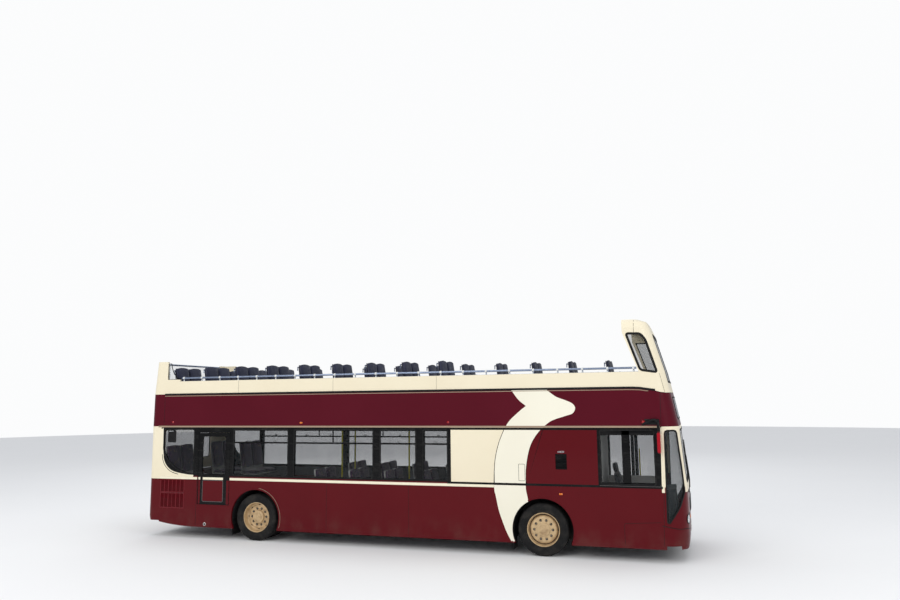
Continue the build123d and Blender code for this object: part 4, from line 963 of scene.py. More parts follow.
# Side windows from rear to front X, and outlines (x, z) of the other panes
OFFSIDE_WINDOWS = ((-3.48, -2.2), (-2.06, -0.32), (-0.17, 0.57), (0.72, 1.21))
NEARSIDE_WINDOWS = ((-4.34, -3.64), (-3.48, -2.2), (-2.06, -0.32), (-0.17, 1.21), (1.36, 2.65), (2.8, 3.78))
WINDOW_Z = (1.3, 2.24)
DRIVER_WINDOW = (4.06, 4.99)
QUARTER = ((-5.23, 2.24), (-4.45, 2.24), (-4.45, 1.3), (-4.6, 1.31), (-4.9, 1.42), (-5.11, 1.59),
           (-5.23, 1.8))
CORNER_SCREEN = ((5.17, 2.23), (5.365, 2.23), (5.395, 1.9), (5.425, 1.6), (5.455, 1.18), (5.365, 0.93),
                 (5.26, 0.78),
                 (5.185, 0.67), (5.155, 0.68))
DOME_WINDOW = ((4.585, 3.945), (4.835, 3.935), (4.92, 3.83), (5.095, 3.245), (4.81, 3.29))
HOPPER_Z = 1.97
GASKET_SECTION = [(-0.013, -0.013), (0.001, -0.013), (0.0055, -0.009), (0.0065, 0), (0.0055, 0.009),
                  (0.001, 0.013),
                  (-0.013, 0.013)]


def gaskets():
    """Rubber round the side windows, and the catches of their top-hung vents."""
    seal = Form()
    catches = Form()
    for sign, windows in ((-1, OFFSIDE_WINDOWS + (DRIVER_WINDOW,)), (1, NEARSIDE_WINDOWS)):
        for x0, x1 in windows:
            outline = rounded(x0, x1, *WINDOW_Z, 0.04)
            seal.sweep(side_path(outline, sign), (0, sign, 0), GASKET_SECTION, closed=True)
            if (x0, x1) == DRIVER_WINDOW:
                continue
            middle = (x0 + x1) / 2
            for x in ((x0 + middle) / 2, (middle + x1) / 2) if x1 - x0 > 0.9 else (middle,):
                catches.bar((x - 0.03, sign * (SIDE - 0.03), HOPPER_Z + 0.02),
                            (x + 0.03, sign * (SIDE - 0.046),
                             HOPPER_Z + 0.045), 0.004)
    for sign in (-1, 1):
        line = eased(QUARTER, 0.05)
        seal.sweep(side_path(line, sign), (0, sign, 0), GASKET_SECTION, closed=True)
    seal.piece("window_gaskets", GASKET, slot="black_frame")
    catches.piece("vent_catches", ALUMINIUM)


def front_seals():
    """Rubber round the windscreen, upper screen, corner panes, dome side panes and rear window."""
    seal = Form()
    for half, low, high, radius in ((0.9, 1.33, 2.225, 0.06), (0.96, 3.08, 3.93, 0.09)):
        line = dense(rounded(-half, half, low, high, radius), 0.09, closed=True)
        skin_sweep(seal, [nose_spot(y, z) for y, z in line], [(u, v * 1.5) for u, v in GASKET_SECTION],
                   closed=True)
    for sign in (-1, 1):
        for outline, radius in ((CORNER_SCREEN, 0.06), (DOME_WINDOW, 0.05)):
            line = dense(eased(outline, radius), 0.05, closed=True)
            width = 1.6 if outline is DOME_WINDOW else 1.1
            section = [(u, v * width) for u, v in GASKET_SECTION]
            skin_sweep(seal, [corner_spot(sign, x, z) for x, z in line], section, closed=True)
    line = dense(rounded(-0.82, 0.82, 1.5, 2.2, 0.06), 0.2, closed=True)
    seal.sweep([(REAR, y, z) for y, z in line], (-1, 0, 0), GASKET_SECTION, closed=True)
    seal.piece("screen_gaskets", GASKET, slot="black_frame")


def run_on_side(form, points, sign, section, gap=0.06):
    """Moulding along the side and round the front corner."""
    skin_sweep(form, [corner_spot(sign, x, z) for x, z in dense(points, gap)], section)


def side_mouldings():
    """Gutter, beige and black lines, waist rail and panel joints."""
    gutter, beige, black, joints = Form(), Form(), Form(), Form()
    drip = [(-0.002, -0.019), (0.006, -0.019), (0.013, -0.012), (0.014, 0.004), (0.009, 0.016),
            (-0.002, 0.019)]
    for sign in (-1, 1):
        run_on_side(gutter,
                    ((-5.24, 2.981), (4.5, 2.981), (4.66, 2.98), (4.792, 2.972), (4.93, 2.95),
                     (5.045, 2.934)),
                    sign, drip, 0.12)
        run_on_side(beige, ((-5.24, 2.946), (4.6, 2.946), (4.78, 2.94), (4.93, 2.918)), sign,
                    bead(0.014, 0.003), 0.2)
        run_on_side(beige, ((-5.38, 2.296), (5.1, 2.296)), sign, flat_strip(0.034, 0.004), 0.12)
        run_on_side(black, ((-5.3, 2.264), (5.1, 2.264)), sign, flat_strip(0.028, 0.003), 0.12)
        glass_end = 1.2 if sign < 0 else 3.9
        run_on_side(black, ((-3.5, 2.234), (glass_end, 2.234)), sign, flat_strip(0.044, 0.0027), 0.2)
        if sign < 0:
            run_on_side(black, ((glass_end, 2.255), (4.03, 2.255)), sign, flat_strip(0.034, 0.0027), 0.2)
        run_on_side(black, ((1.2, 1.262), (5.1, 1.262)) if sign < 0 else ((1.2, 1.262), (3.88, 1.262)),
                    sign,
                    flat_strip(0.04, 0.003), 0.2)
        for points in (((-5.24, 2.34), (-5.24, 2.955)), ((5.119, 2.33), (5.127, 2.893)),
                       ((5.13, 3.23), (5.206, 2.9)), ((5.077, 0.284), (5.111, 1.032), (5.119, 1.17))):
            run_on_side(joints, points, sign, flat_strip(0.006, 0.0012), 0.3)
        run_on_side(joints, ((-4.36, 0.27), (-4.36, 1.19)), sign, flat_strip(0.006, 0.0012))
        for x in (-1.32, 0.42):
            run_on_side(joints, ((x, 0.245), (x, 1.19)), sign, flat_strip(0.005, 0.001), 0.4)
        for x in (-3.4, -1.2, 1.0):
            run_on_side(joints, ((x, 3.0), (x, 3.255)), sign, flat_strip(0.004, 0.001), 0.2)
    gutter = gutter.piece("gutter_drips", SATIN_BLACK, slot="black_frame")
    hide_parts("gutters")
    beige.piece("beige_mouldings", BEIGE_LINE)
    black.piece("black_mouldings", BLACK, slot="black_frame")
    joints.piece("panel_joints", GASKET, slot="black_frame")


def arch_lips():
    """Rolled rings round the arches, cream under the swoosh, and pale beads ahead of the rear wheels that
    are painted highlight on the arch edge.
    """
    lips, cream, pale = Form(), Form(), Form()
    section = [(-0.03, 0.01), (-0.002, -0.018), (0.003, -0.016), (0.0045, 0.002), (0.0035, 0.011),
               (-0.03, 0.013)]
    for sign in (-1, 1):
        for form, centre, start, end in ((lips, AXLE_FRONT, -22, 117), (cream, AXLE_FRONT, 117, 202),
                                         (lips, AXLE_REAR, -22, 202)):
            line = [arch_point(centre, LIP_RADIUS, start + (end - start) * k / 48, sign) for k in range(49)]
            form.sweep(line, (0, sign, 0), section)
        # Pale bead round the front and top of each rear arch: painted highlight.
        front_side = [arch_point(AXLE_REAR, BEAD_RADIUS, -18 + 100 * k / 24, sign) for k in range(25)]
        pale.sweep(front_side, (0, sign, 0), bead(0.007, 0.003))
    lips = lips.piece("arch_lip_rolls", MAROON, slot="maroon_paint")
    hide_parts("arch_lips")
    pale.piece("arch_painted_highlight_beads", BEIGE_LINE)
    cream.piece("arch_lip_cream", PALE_CREAM, slot="cream_paint")


def front_seam():
    """Joints of the front end: under the cream part, dipping and round the nose, and over the dome."""
    seam = ((4.78, 2.985), (4.93, 2.95), (5.045, 2.922), (5.13, 2.897), (5.2, 2.888))
    near, far = ([corner_spot(sign, x, z) for x, z in dense(seam, 0.04)] for sign in (-1, 1))
    limit = far[-1][0].y - 0.012
    nose = [spot for spot in nose_path(2.884, 24, 24) if abs(spot[0].y) < limit]
    line = Form()
    skin_sweep(line, near + nose + far[::-1], flat_strip(0.007, 0.0014))
    line.piece("front_seam", GASKET)
    joint = Form()
    near, far = ([corner_spot(sign, 4.725, 3.955 + 0.0285 * k) for k in range(9)] for sign in (-1, 1))
    top = [(Vector((4.725, 0.109 * k, 4.2045)), Vector((0, 0, 1))) for k in range(-10, 11)]
    skin_sweep(joint, near + top + far[::-1], flat_strip(0.006, 0.0012))
    joint.piece("dome_joint", GASKET)


def copies_group(name, ring):
    """Geometry Nodes group: copies of a unit in a straight row, or in a ring about the local Z axis."""
    group = bpy.data.node_groups.new(name, "GeometryNodeTree")
    face = group.interface
    spread = ("Radius", "Float") if ring else ("Step", "Vector")
    for label, kind in (("Unit", "Geometry"), ("Count", "Int"), spread, ("Material", "Material")):
        face.new_socket(label, in_out="INPUT", socket_type="NodeSocket" + kind)
    face.new_socket("Geometry", in_out="OUTPUT", socket_type="NodeSocketGeometry")
    nodes, link = group.nodes, group.links.new
    source = nodes.new("NodeGroupInput")
    place = nodes.new("GeometryNodeInstanceOnPoints")
    if ring:
        points = nodes.new("GeometryNodeMeshCircle")
        link(source.outputs["Count"], points.inputs["Vertices"])
        link(source.outputs["Radius"], points.inputs["Radius"])
        index = nodes.new("GeometryNodeInputIndex")
        share = nodes.new("ShaderNodeMath")
        share.operation = "DIVIDE"
        link(index.outputs[0], share.inputs[0])
        link(source.outputs["Count"], share.inputs[1])
        angle = nodes.new("ShaderNodeMath")
        angle.operation = "MULTIPLY"
        link(share.outputs[0], angle.inputs[0])
        angle.inputs[1].default_value = 2 * math.pi
        turn = nodes.new("ShaderNodeCombineXYZ")
        link(angle.outputs[0], turn.inputs["Z"])
        link(turn.outputs[0], place.inputs["Rotation"])
        link(points.outputs["Mesh"], place.inputs["Points"])
    else:
        points = nodes.new("GeometryNodeMeshLine")
        link(source.outputs["Count"], points.inputs["Count"])
        link(source.outputs["Step"], points.inputs["Offset"])
        link(points.outputs["Mesh"], place.inputs["Points"])
    real = nodes.new("GeometryNodeRealizeInstances")
    finish = nodes.new("GeometryNodeSetMaterial")
    out = nodes.new("NodeGroupOutput")
    link(source.outputs["Unit"], place.inputs["Instance"])
    link(place.outputs[0], real.inputs[0])
    link(real.outputs[0], finish.inputs["Geometry"])
    link(source.outputs["Material"], finish.inputs["Material"])
    link(finish.outputs[0], out.inputs[0])
    return group


ROW = copies_group("row_of_copies", ring=False)
RING = copies_group("ring_of_copies", ring=True)


def copies(unit, group, count, spread, material, matrix=None):
    """Mesh of many copies of a unit mesh, from the row or the ring group."""
    holder = bpy.data.objects.new("unit", unit)
    bpy.context.scene.collection.objects.link(holder)
    modifier = holder.modifiers.new("Copies", "NODES")
    modifier.node_group = group
    names = {item.name: item.identifier for item in group.interface.items_tree if item.in_out == "INPUT"}
    modifier[names["Count"]] = count
    modifier[names["Radius" if group == RING else "Step"]] = spread
    modifier[names["Material"]] = material
    depsgraph = bpy.context.evaluated_depsgraph_get()
    mesh = bpy.data.meshes.new_from_object(holder.evaluated_get(depsgraph))
    holder.modifiers.clear()
    bpy.data.objects.remove(holder)
    if matrix is not None:
        mesh.transform(matrix)
    return mesh


def row_piece(name, unit, starts, count, step, material, body="body"):
    """One piece made of several rows of the same unit."""
    form = Form()
    line = copies(unit, ROW, count, step, material)
    for start in starts:
        form.add(line, Matrix.Translation(start))
    form.piece(name, material, body, smooth=35)

def ring_piece(name, unit, count, radius, material, body, place):
    """One piece made of a ring of the same unit on a wheel."""
    form = Form().add(copies(unit, RING, count, radius, material, place))
    form.piece(name, material, body)

def wheel_place(centre, sign, along):
    """Place this far out along a wheel's axle, with Z turned outward."""
    out = Matrix.Translation(Vector(centre) + Vector((0, sign * along, 0)))
    return out @ Matrix.Rotation(-math.pi / 2 * sign, 4, "X")

def tyre_profile():
    """Half section of a 22.5 inch coach tyre, bead to the middle of the tread: radius, side."""
    wall = [(0.289, 0.097), (0.2935, 0.107), (0.304, 0.1105), (0.313, 0.1145), (0.3155, 0.1178),
            (0.3185, 0.1165),
            (0.335, 0.1245), (0.352, 0.1305), (0.3545, 0.1325), (0.357, 0.1312), (0.378, 0.1358),
            (0.398, 0.1372),
            (0.4, 0.1358), (0.4045, 0.1358), (0.4065, 0.137), (0.422, 0.134), (0.436, 0.1292),
            (0.447, 0.1232),
            (0.4555, 0.1155), (0.4608, 0.1065)]

    def crown(side):
        return TYRE_RADIUS - 0.0035 * (side / 0.106) ** 2
    tread = []
    for centre, width in ((0.072, 0.012), (0.027, 0.013)):
        for side, depth in ((centre + width / 2, 0.0), (centre + width / 2 - 0.0025, 0.013),
                            (centre - width / 2 + 0.0025, 0.013), (centre - width / 2, 0.0)):
            tread.append((crown(side) - depth, side))
    return wall, tread


def tyre_mesh(centres):
    """Tyres about the Y axis: beads, ringed side walls, shoulder cuts and four zigzag grooves."""
    wall, tread = tyre_profile()
    half = wall + tread
    mirrored = [(radius, -side) for radius, side in reversed(half)]
    inner = [(0.3, -0.082), (0.33, -0.06), (0.34, 0.0), (0.33, 0.06), (0.3, 0.082)]
    profile = half + mirrored + inner
    grooves = set(range(len(wall), len(wall) + 2 * len(tread)))
    shoulders = {len(wall) - 3, len(wall) - 2, len(wall) - 1}
    shoulders |= {len(half) + len(half) - 1 - i for i in shoulders}

    def shift(i, k, radius, side):
        if i in grooves:
            side += 0.0036 * (0, 1, 0, -1)[k % 4]
        if i in shoulders and k % 4 == 0:
            radius -= 0.006
        return radius, side
    form = Form()
    for centre in centres:
        form.turned(profile, centre, (0, 1, 0), 128, closed=True, shift=shift)
    return form


def hex_nut(radius, height):
    """Wheel nut with a chamfered crown and a stud end, standing along Z."""
    form = Form()
    sides = [(math.cos(math.radians(60 * k)), math.sin(math.radians(60 * k))) for k in range(6)]
    form.rings([[(radius * scale * x, radius * scale * y, z) for x, y in sides]
                for scale, z in ((1, 0), (1, height * 0.75), (0.84, height))])
    form.turned([(0, height * 1.5), (radius * 0.4, height * 1.5), (radius * 0.42, height),
                 (0, height * 0.9)],
                (0, 0, 0), (0, 0, 1), 10)
    return form.done("nut", 30)


def wheel_dressing():
    """Tyres, rims, nuts and hub covers, each on its own wheel body; the dark ring in the front rims'
    recess, the black cups round the nuts and the black vent discs are painted shade.
    """
    barrel = [(0.2775, -0.1), (0.286, -0.112), (0.2975, -0.1145), (0.2985, -0.1115), (0.29, -0.106),
              (0.285, -0.09),
              (0.285, 0.09), (0.29, 0.106), (0.2985, 0.1115), (0.2975, 0.1145), (0.292, 0.1155),
              (0.286, 0.112),
              (0.2815, 0.1)]
    front_rim = [*barrel, (0.2795, 0.075), (0.2755, 0.055), (0.268, 0.043), (0.259, 0.041), (0.252, 0.047),
                 (0.2475, 0.058), (0.243, 0.07), (0.234, 0.081), (0.219, 0.0885), (0.2, 0.0915),
                 (0.14, 0.0925),
                 (0.131, 0.0955), (0.128, 0.0965), (0.12, 0.0965), (0.1175, 0.1), (0.116, 0.106),
                 (0.112, 0.109),
                 (0.07, 0.1105), (0.066, 0.113), (0.062, 0.116), (0.058, 0.1175), (0, 0.1185)]
    front_back = [(0, 0.03), (0.19, 0.045), (0.24, 0.03), (0.262, 0.022), (0.2715, 0.0), (0.2735, -0.08)]
    rear_rim = [*barrel, (0.2785, 0.06), (0.2745, 0.03), (0.268, 0.012), (0.257, 0.002), (0.246, -0.001),
                (0.236, 0.001), (0.226, 0.006), (0.215, 0.0085), (0.205, 0.0065), (0.198, 0.002),
                (0.135, 0.001),
                (0.128, 0.004), (0.1255, 0.012), (0.124, 0.04), (0.1215, 0.046), (0.117, 0.048),
                (0.072, 0.05),
                (0.068, 0.054), (0.064, 0.057), (0, 0.058)]
    rear_back = [(0, -0.05), (0.2, -0.03), (0.25, -0.03), (0.268, -0.04), (0.2725, -0.06), (0.2735, -0.08)]
    for side, sign in (("left", 1), ("right", -1)):
        front = (AXLE_FRONT, sign * TRACK, HUB_Z)
        outer = (AXLE_REAR, sign * TRACK, HUB_Z)
        inner = (AXLE_REAR, sign * (TRACK - TWIN_PITCH), HUB_Z)
        for name, body, centres, node in (("front_tyre_tread_", "front_wheel_", (front,), "front_tyre_"),
                                          ("rear_tyre_treads_", "rear_wheels_", (outer, inner),
                                           "rear_tyres_")):
            tyre = tyre_mesh(centres).piece(name + side, TYRE, body + side, "tyre", smooth=32)
            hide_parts(node + side)
        axis = (0, sign, 0)
        rim = Form().turned(front_rim + front_back, front, axis, 72, closed=True)
        rim.turned([(0.052, 0.1), (0.05, 0.1215), (0.046, 0.124), (0, 0.125)], front, axis, 32)
        rim = rim.piece("front_rim_dish_" + side, WHEEL, "front_wheel_" + side, "wheel_gold", smooth=28)
        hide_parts("front_rim_" + side)
        # Dark ring laid in the rim's recess: painted shade.
        shade_strip = Form().turned([(0.268, 0.0436), (0.2585, 0.0416), (0.2515, 0.0478), (0.2512, 0.0468),
                                (0.258, 0.04),
                                (0.268, 0.042)], front, axis, 72, closed=True)
        shade_strip.piece("front_rim_recess_shade_" + side, RECESS_SHADE, "front_wheel_" + side, "wheel_gold")
        rear = Form().turned(rear_rim + rear_back, outer, axis, 72, closed=True)
        back_axis = (0, -sign, 0)
        rear.turned(rear_rim + rear_back, inner, back_axis, 72, closed=True)
        rear.turned([(0, -0.22), (0.11, -0.22), (0.115, -0.21), (0.115, -0.03), (0, -0.03)], outer, axis,
                    40)
        rear = rear.piece("rear_rim_dishes_" + side, WHEEL, "rear_wheels_" + side, "wheel_gold", smooth=28)
        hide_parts("rear_rims_" + side)
        for label, centre, body, nut_face, bolt_face, vent_face, vent_radius in (
                ("front", front, "front_wheel_" + side, 0.0915, 0.112, 0.0505, 0.2505),
                ("rear", outer, "rear_wheels_" + side, 0.0012, 0.05, 0.0005, 0.241)):
            nuts, bolts, vents = (wheel_place(centre, sign, along) for along in (nut_face, bolt_face,
                                                                                 vent_face))
            # Black cups round the nuts: painted shade of the stud holes.
            cup = Form().turned([(0.0245, -0.001), (0.0245, 0.0012), (0.0225, 0.0024), (0.0205, 0.0012),
                                 (0.019, 0.0004), (0, 0.0004)], (0, 0, 0), (0, 0, 1), 20).done("cup", 30)
            ring_piece(label + "_nut_hole_shades_" + side, cup, 10, 0.167, SATIN_BLACK, body, nuts)
            ring_piece(label + "_nuts_" + side, hex_nut(0.0145, 0.011), 10, 0.167, IRON, body, nuts)
            ring_piece(label + "_hub_bolts_" + side, hex_nut(0.0075, 0.006), 10, 0.084, WHEEL, body, bolts)
            # Flat black discs on the rim face: painted shade of the vent holes.
            vent = Form().turned([(0, 0), (0.009, 0), (0.009, 0.003), (0, 0.003)], (0, 0, 0), (0, 0, 1), 14)
            vent = vent.done("vent", 40)
            vent.transform(Matrix.Diagonal((1.0, 2.4, 1.0, 1.0)))
            ring_piece(label + "_vent_hole_shades_" + side, vent, 8, vent_radius, SATIN_BLACK, body, vents)
        hub_cap = Form().turned([(0, 0.058), (0.03, 0.058), (0.034, 0.064), (0.03, 0.07), (0, 0.072)],
                                outer, axis, 24)
        hub_cap.piece("rear_hub_cap_" + side, WHEEL, "rear_wheels_" + side)


def pad_mesh(size, crown, channels=(), rows=10, cross=0.0):
    """Crowned upholstered pad; channels are sewn lines across it, as shares of its length."""
    half = Vector(size) / 2
    work = bmesh.new()
    bmesh.ops.create_cube(work, size=2.0)
    bmesh.ops.subdivide_edges(work, edges=work.edges[:], cuts=rows - 1, use_grid_fill=True)
    for vert in work.verts:
        x, y, z = vert.co
        pull = 0.06 * (1 - abs(z)) ** 2
        edge_x = 1 - 0.05 * y * y * (1 + 0.6 * y * y) - pull * 0.4
        edge_y = 1 - 0.05 * x * x * (1 + 0.6 * x * x) - pull * 0.4
        top = (1 - x ** 4) * (1 - y ** 4)
        rise = z * half.z * (0.72 + 0.28 * top)
        if z > 0:
            rise += crown * top * z
            for channel in channels:
                rise -= 0.007 * z * math.exp(-((x - channel) / 0.055) ** 2) * (1 - y ** 6)
            if cross:
                rise -= cross * z * math.exp(-(y / 0.06) ** 2)
        vert.co = (x * half.x * edge_x, y * half.y * edge_y, rise)
    mesh = bpy.data.meshes.new("pad")
    work.to_mesh(mesh)
    work.free()
    return mesh


def puffed(mesh, cap):
    """Swell a pad with Blender's cloth pressure; no point moves more than the cap."""
    scene = bpy.context.scene
    holder = bpy.data.objects.new("pad_sim", mesh.copy())
    scene.collection.objects.link(holder)
    modifier = holder.modifiers.new("Cloth", "CLOTH")
    modifier.settings.quality = 6
    modifier.settings.mass = 0.35
    modifier.settings.tension_stiffness = 18
    modifier.settings.compression_stiffness = 18
    modifier.settings.bending_stiffness = 2.0
    modifier.settings.use_pressure = True
    modifier.settings.uniform_pressure_force = 4.0
    modifier.settings.effector_weights.gravity = 0.0
    modifier.point_cache.frame_start = 1
    modifier.point_cache.frame_end = 20
    for number in range(1, 21):
        scene.frame_set(number)
    depsgraph = bpy.context.evaluated_depsgraph_get()
    swollen = bpy.data.meshes.new_from_object(holder.evaluated_get(depsgraph))
    for old, new in zip(mesh.vertices, swollen.vertices):
        move = new.co - old.co
        if move.length > cap:
            move = move.normalized() * cap
        new.co = old.co + move
    holder.modifiers.clear()
    bpy.data.objects.remove(holder)
    scene.frame_set(1)
    return swollen


BACK_LEAN = math.atan2(0.09, 0.64)


def back_matrix(x, y, floor):
    """Place of a back pad: its length runs up the leaning back."""
    lift = 0.36
    base = Matrix.Translation((x + 0.052 - 0.09 * lift / 0.64, y, floor + 0.43 + lift))
    return base @ Matrix.Rotation(-math.pi / 2 - BACK_LEAN, 4, "Y") @ Matrix.Rotation(math.pi, 4, "Z")


LOWER_ROWS = [(-5.15, -1, REAR_FLOOR), (-5.15, 1, REAR_FLOOR), (-4.36, 1, REAR_FLOOR)]
LOWER_ROWS += [(-1.56 + i * 0.76, s, FLOOR) for i in range(4) for s in (-1, 1)]
DECK_ROWS = [(-5.0 + i * 0.76, s, UPPER_FLOOR) for i in range(9) for s in (-1, 1)]
DECK_ROWS += [(-5.0 + i * 0.76, 1, UPPER_FLOOR) for i in range(9, 13)]
SEAT_WALL = 1.218
SEAT_WIDE = 0.44


def shell_form(form, x, y, floor):
    """Moulded back and pan of one seat: a thin lofted shell with rolled edges and a rounded head."""
    half = SEAT_WIDE / 2 - 0.008
    rings = []
    for k in range(13):
        rise = k / 12
        z = floor + 0.352 + 0.714 * rise
        lean = x - 0.09 * max(0.0, (z - floor - 0.43) / 0.64)
        narrow = half * (1 - 0.16 * max(0.0, (rise - 0.78) / 0.22) ** 2)
        hollow = 0.012 * math.sin(math.pi * rise)
        across = []
        for j in range(9):
            y_share = -1 + j / 4
            across.append(Vector((lean + 0.004 + 0.016 * y_share ** 4 - hollow * (1 - y_share ** 2) + 0.006,
                                  y + narrow * y_share, z)))
        behind = [point - Vector((0.011, 0, 0)) for point in reversed(across)]
        rings.append(across + behind)
    form.rings(rings)
    form.bar((x + 0.008, y - half, floor + 0.341), (x + 0.428, y + half, floor + 0.356), 0.006, 2)


def seat_set(prefix, rows, node, pads, frames, cloth, shell, tube, handle):
    """Pads, shells and frames of all the seats of one deck, each joined into one piece."""
    pad_form, shells, tubes, feet = Form(), Form(), Form(), Form()
    cushion, back = pads
    for x, sign, floor in rows:
        middle = sign * (SEAT_WALL - SEAT_WIDE)
        for part in (-0.5, 0.5):
            y = middle + part * SEAT_WIDE
            pad_form.add(cushion, Matrix.Translation((x + 0.222, y, floor + 0.394)))
            pad_form.add(back, back_matrix(x, y, floor))
            shell_form(shells, x, y, floor)
        if handle:
            for part in (-0.5, 0.5):
                y = middle + part * SEAT_WIDE
                arch = [(x - 0.028, y - 0.17, floor + 0.76), (x - 0.07, y - 0.168, floor + 1.0),
                        (x - 0.082, y - 0.15, floor + 1.055), (x - 0.084, y - 0.1, floor + 1.068),
                        (x - 0.084, y + 0.1, floor + 1.068), (x - 0.082, y + 0.15, floor + 1.055),
                        (x - 0.07, y + 0.168, floor + 1.0), (x - 0.028, y + 0.17, floor + 0.76)]
                arch = [(px - 0.012, py, min(pz, floor + 1.058)) for px, py, pz in arch]
                tubes.tube(curve_through(arch, 4), 0.0115, 8)
        else:
            bar = [(x - 0.1, middle + s, floor + 1.0 + z) for s, z in
                   ((-0.4, -0.05), (-0.39, 0.01), (-0.34, 0.025), (0.34, 0.025), (0.39, 0.01),
                    (0.4, -0.05))]
            tubes.tube(curve_through(bar, 4), 0.011, 8)
        for part in (-1, 1):
            y = middle + part * 0.2
            tubes.tube([(x + 0.07, y, floor + 0.335), (x + 0.36, y, floor + 0.335)], 0.014, 8)
        feet.rings([[(x + a, middle + b, floor + z) for a, b in ring] for z, ring in (
            (0.0, ((0.11, -0.07), (0.33, -0.07), (0.33, 0.07), (0.11, 0.07))),
            (0.012, ((0.11, -0.07), (0.33, -0.07), (0.33, 0.07), (0.11, 0.07))),
            (0.03, ((0.15, -0.04), (0.29, -0.04), (0.29, 0.04), (0.15, 0.04))),
            (0.28, ((0.16, -0.03), (0.28, -0.03), (0.28, 0.03), (0.16, 0.03))),
            (0.325, ((0.1, -0.2), (0.34, -0.2), (0.34, 0.2), (0.1, 0.2))),
            (0.341, ((0.1, -0.2), (0.34, -0.2), (0.34, 0.2), (0.1, 0.2))))])
    pad_piece = pad_form.piece(prefix + "_seat_pads", cloth, slot="seat_fabric", smooth=60)
    shell_piece = shells.piece(prefix + "_seat_shells", shell, slot="seat_shell", smooth=50)
    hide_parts(node)
    tubes.piece(prefix + "_seat_tubes", tube)
    feet.piece(prefix + "_seat_feet", frames)


def seats():
    """All passenger seats: moquette inside, coated fabric on the open deck."""
    cushion = puffed(pad_mesh((0.4, 0.405, 0.066), 0.012, (-0.25,), cross=0.004), 0.007)
    back = puffed(pad_mesh((0.6, 0.4, 0.046), 0.012, (-0.45, 0.4), cross=0.003), 0.007)
    seat_set("saloon", LOWER_ROWS, "lower_seats", (cushion, back), SHELL, MOQUETTE, SHELL, PALE_TUBE, True)
    cushion = puffed(pad_mesh((0.4, 0.41, 0.064), 0.008, (-0.35, 0.35)), 0.005)
    back = puffed(pad_mesh((0.6, 0.405, 0.044), 0.008, (-0.5, 0.0, 0.5)), 0.005)
    seat_set("deck", DECK_ROWS, "upper_seats", (cushion, back), SATIN_BLACK, DECK_CLOTH, NAVY_SHELL, STEEL_SKY_REFLECTION,
             False)


def driver_place():
    """Driver's suspension seat: base, bellows, cushion, bolstered back and head rest."""
    x, y = 4.33, -0.69
    pads = Form()
    cushion = puffed(pad_mesh((0.45, 0.46, 0.1), 0.015, (-0.4, 0.35), rows=16), 0.01)
    back = puffed(pad_mesh((0.56, 0.44, 0.085), 0.014, (-0.55, -0.1, 0.35), rows=16), 0.01)
    head = puffed(pad_mesh((0.17, 0.27, 0.07), 0.01, rows=10), 0.008)
    pads.add(cushion, Matrix.Translation((x + 0.245, y, 0.942)))
    lean = Matrix.Rotation(-math.pi / 2 - 0.2, 4, "Y") @ Matrix.Rotation(math.pi, 4, "Z")
    pads.add(back, Matrix.Translation((x, y, 1.2)) @ lean)
    pads.add(head, Matrix.Translation((x - 0.068, y, 1.545)) @ lean)
    for side in (-1, 1):
        roll = curve_through([(x + 0.045, y + side * 0.2, 1.0), (x + 0.035, y + side * 0.205, 1.15),
                              (x - 0.005, y + side * 0.2, 1.3), (x - 0.045, y + side * 0.19, 1.42)], 5)
        pads.tube(roll, 0.03, 10)
    piece = pads.piece("driver_seat_pads", DRIVER_CLOTH, slot="seat_fabric", smooth=60)
    base = Form()
    base.bar((x + 0.09, y - 0.16, FLOOR), (x + 0.42, y + 0.16, FLOOR + 0.05), 0.008, 2)
    rings = []
    for k in range(9):
        z = FLOOR + 0.05 + 0.4 * k / 8
        grow = 0.012 if k % 2 else 0.0
        rings.append([(px, py, z) for px, py in rounded(x + 0.1 - grow, x + 0.41 + grow, y - 0.15 - grow,
                                                       y + 0.15 + grow, 0.04, 3)])
    base.rings(rings)
    base.bar((x + 0.04, y - 0.22, 0.822), (x + 0.46, y + 0.22, 0.885), 0.012, 2)
    base.bar((x - 0.05, y - 0.18, 1.02), (x - 0.02, y + 0.18, 1.46), 0.012, 2)
    for side in (-0.18, 0.18):
        base.tube([(x + 0.06, y + side, 0.85), (x + 0.03, y + side, 1.0), (x - 0.02, y + side, 1.2)], 0.014,
                  8)
    for side in (-0.06, 0.06):
        base.tube([(x - 0.045, y + side, 1.42), (x - 0.07, y + side, 1.53)], 0.007, 8)
    base = base.piece("driver_seat_base", DASH, slot="seat_shell")
    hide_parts("driver_seat")


def hoop(form, outer, inner, place, depth):
    """Frame between two outlines with the same number of points."""
    rings = [[place(u, v, 0) for u, v in outer], [place(u, v, depth) for u, v in outer],
             [place(u, v, depth) for u, v in inner], [place(u, v, 0) for u, v in inner]]
    form.rings(rings, closed=True)


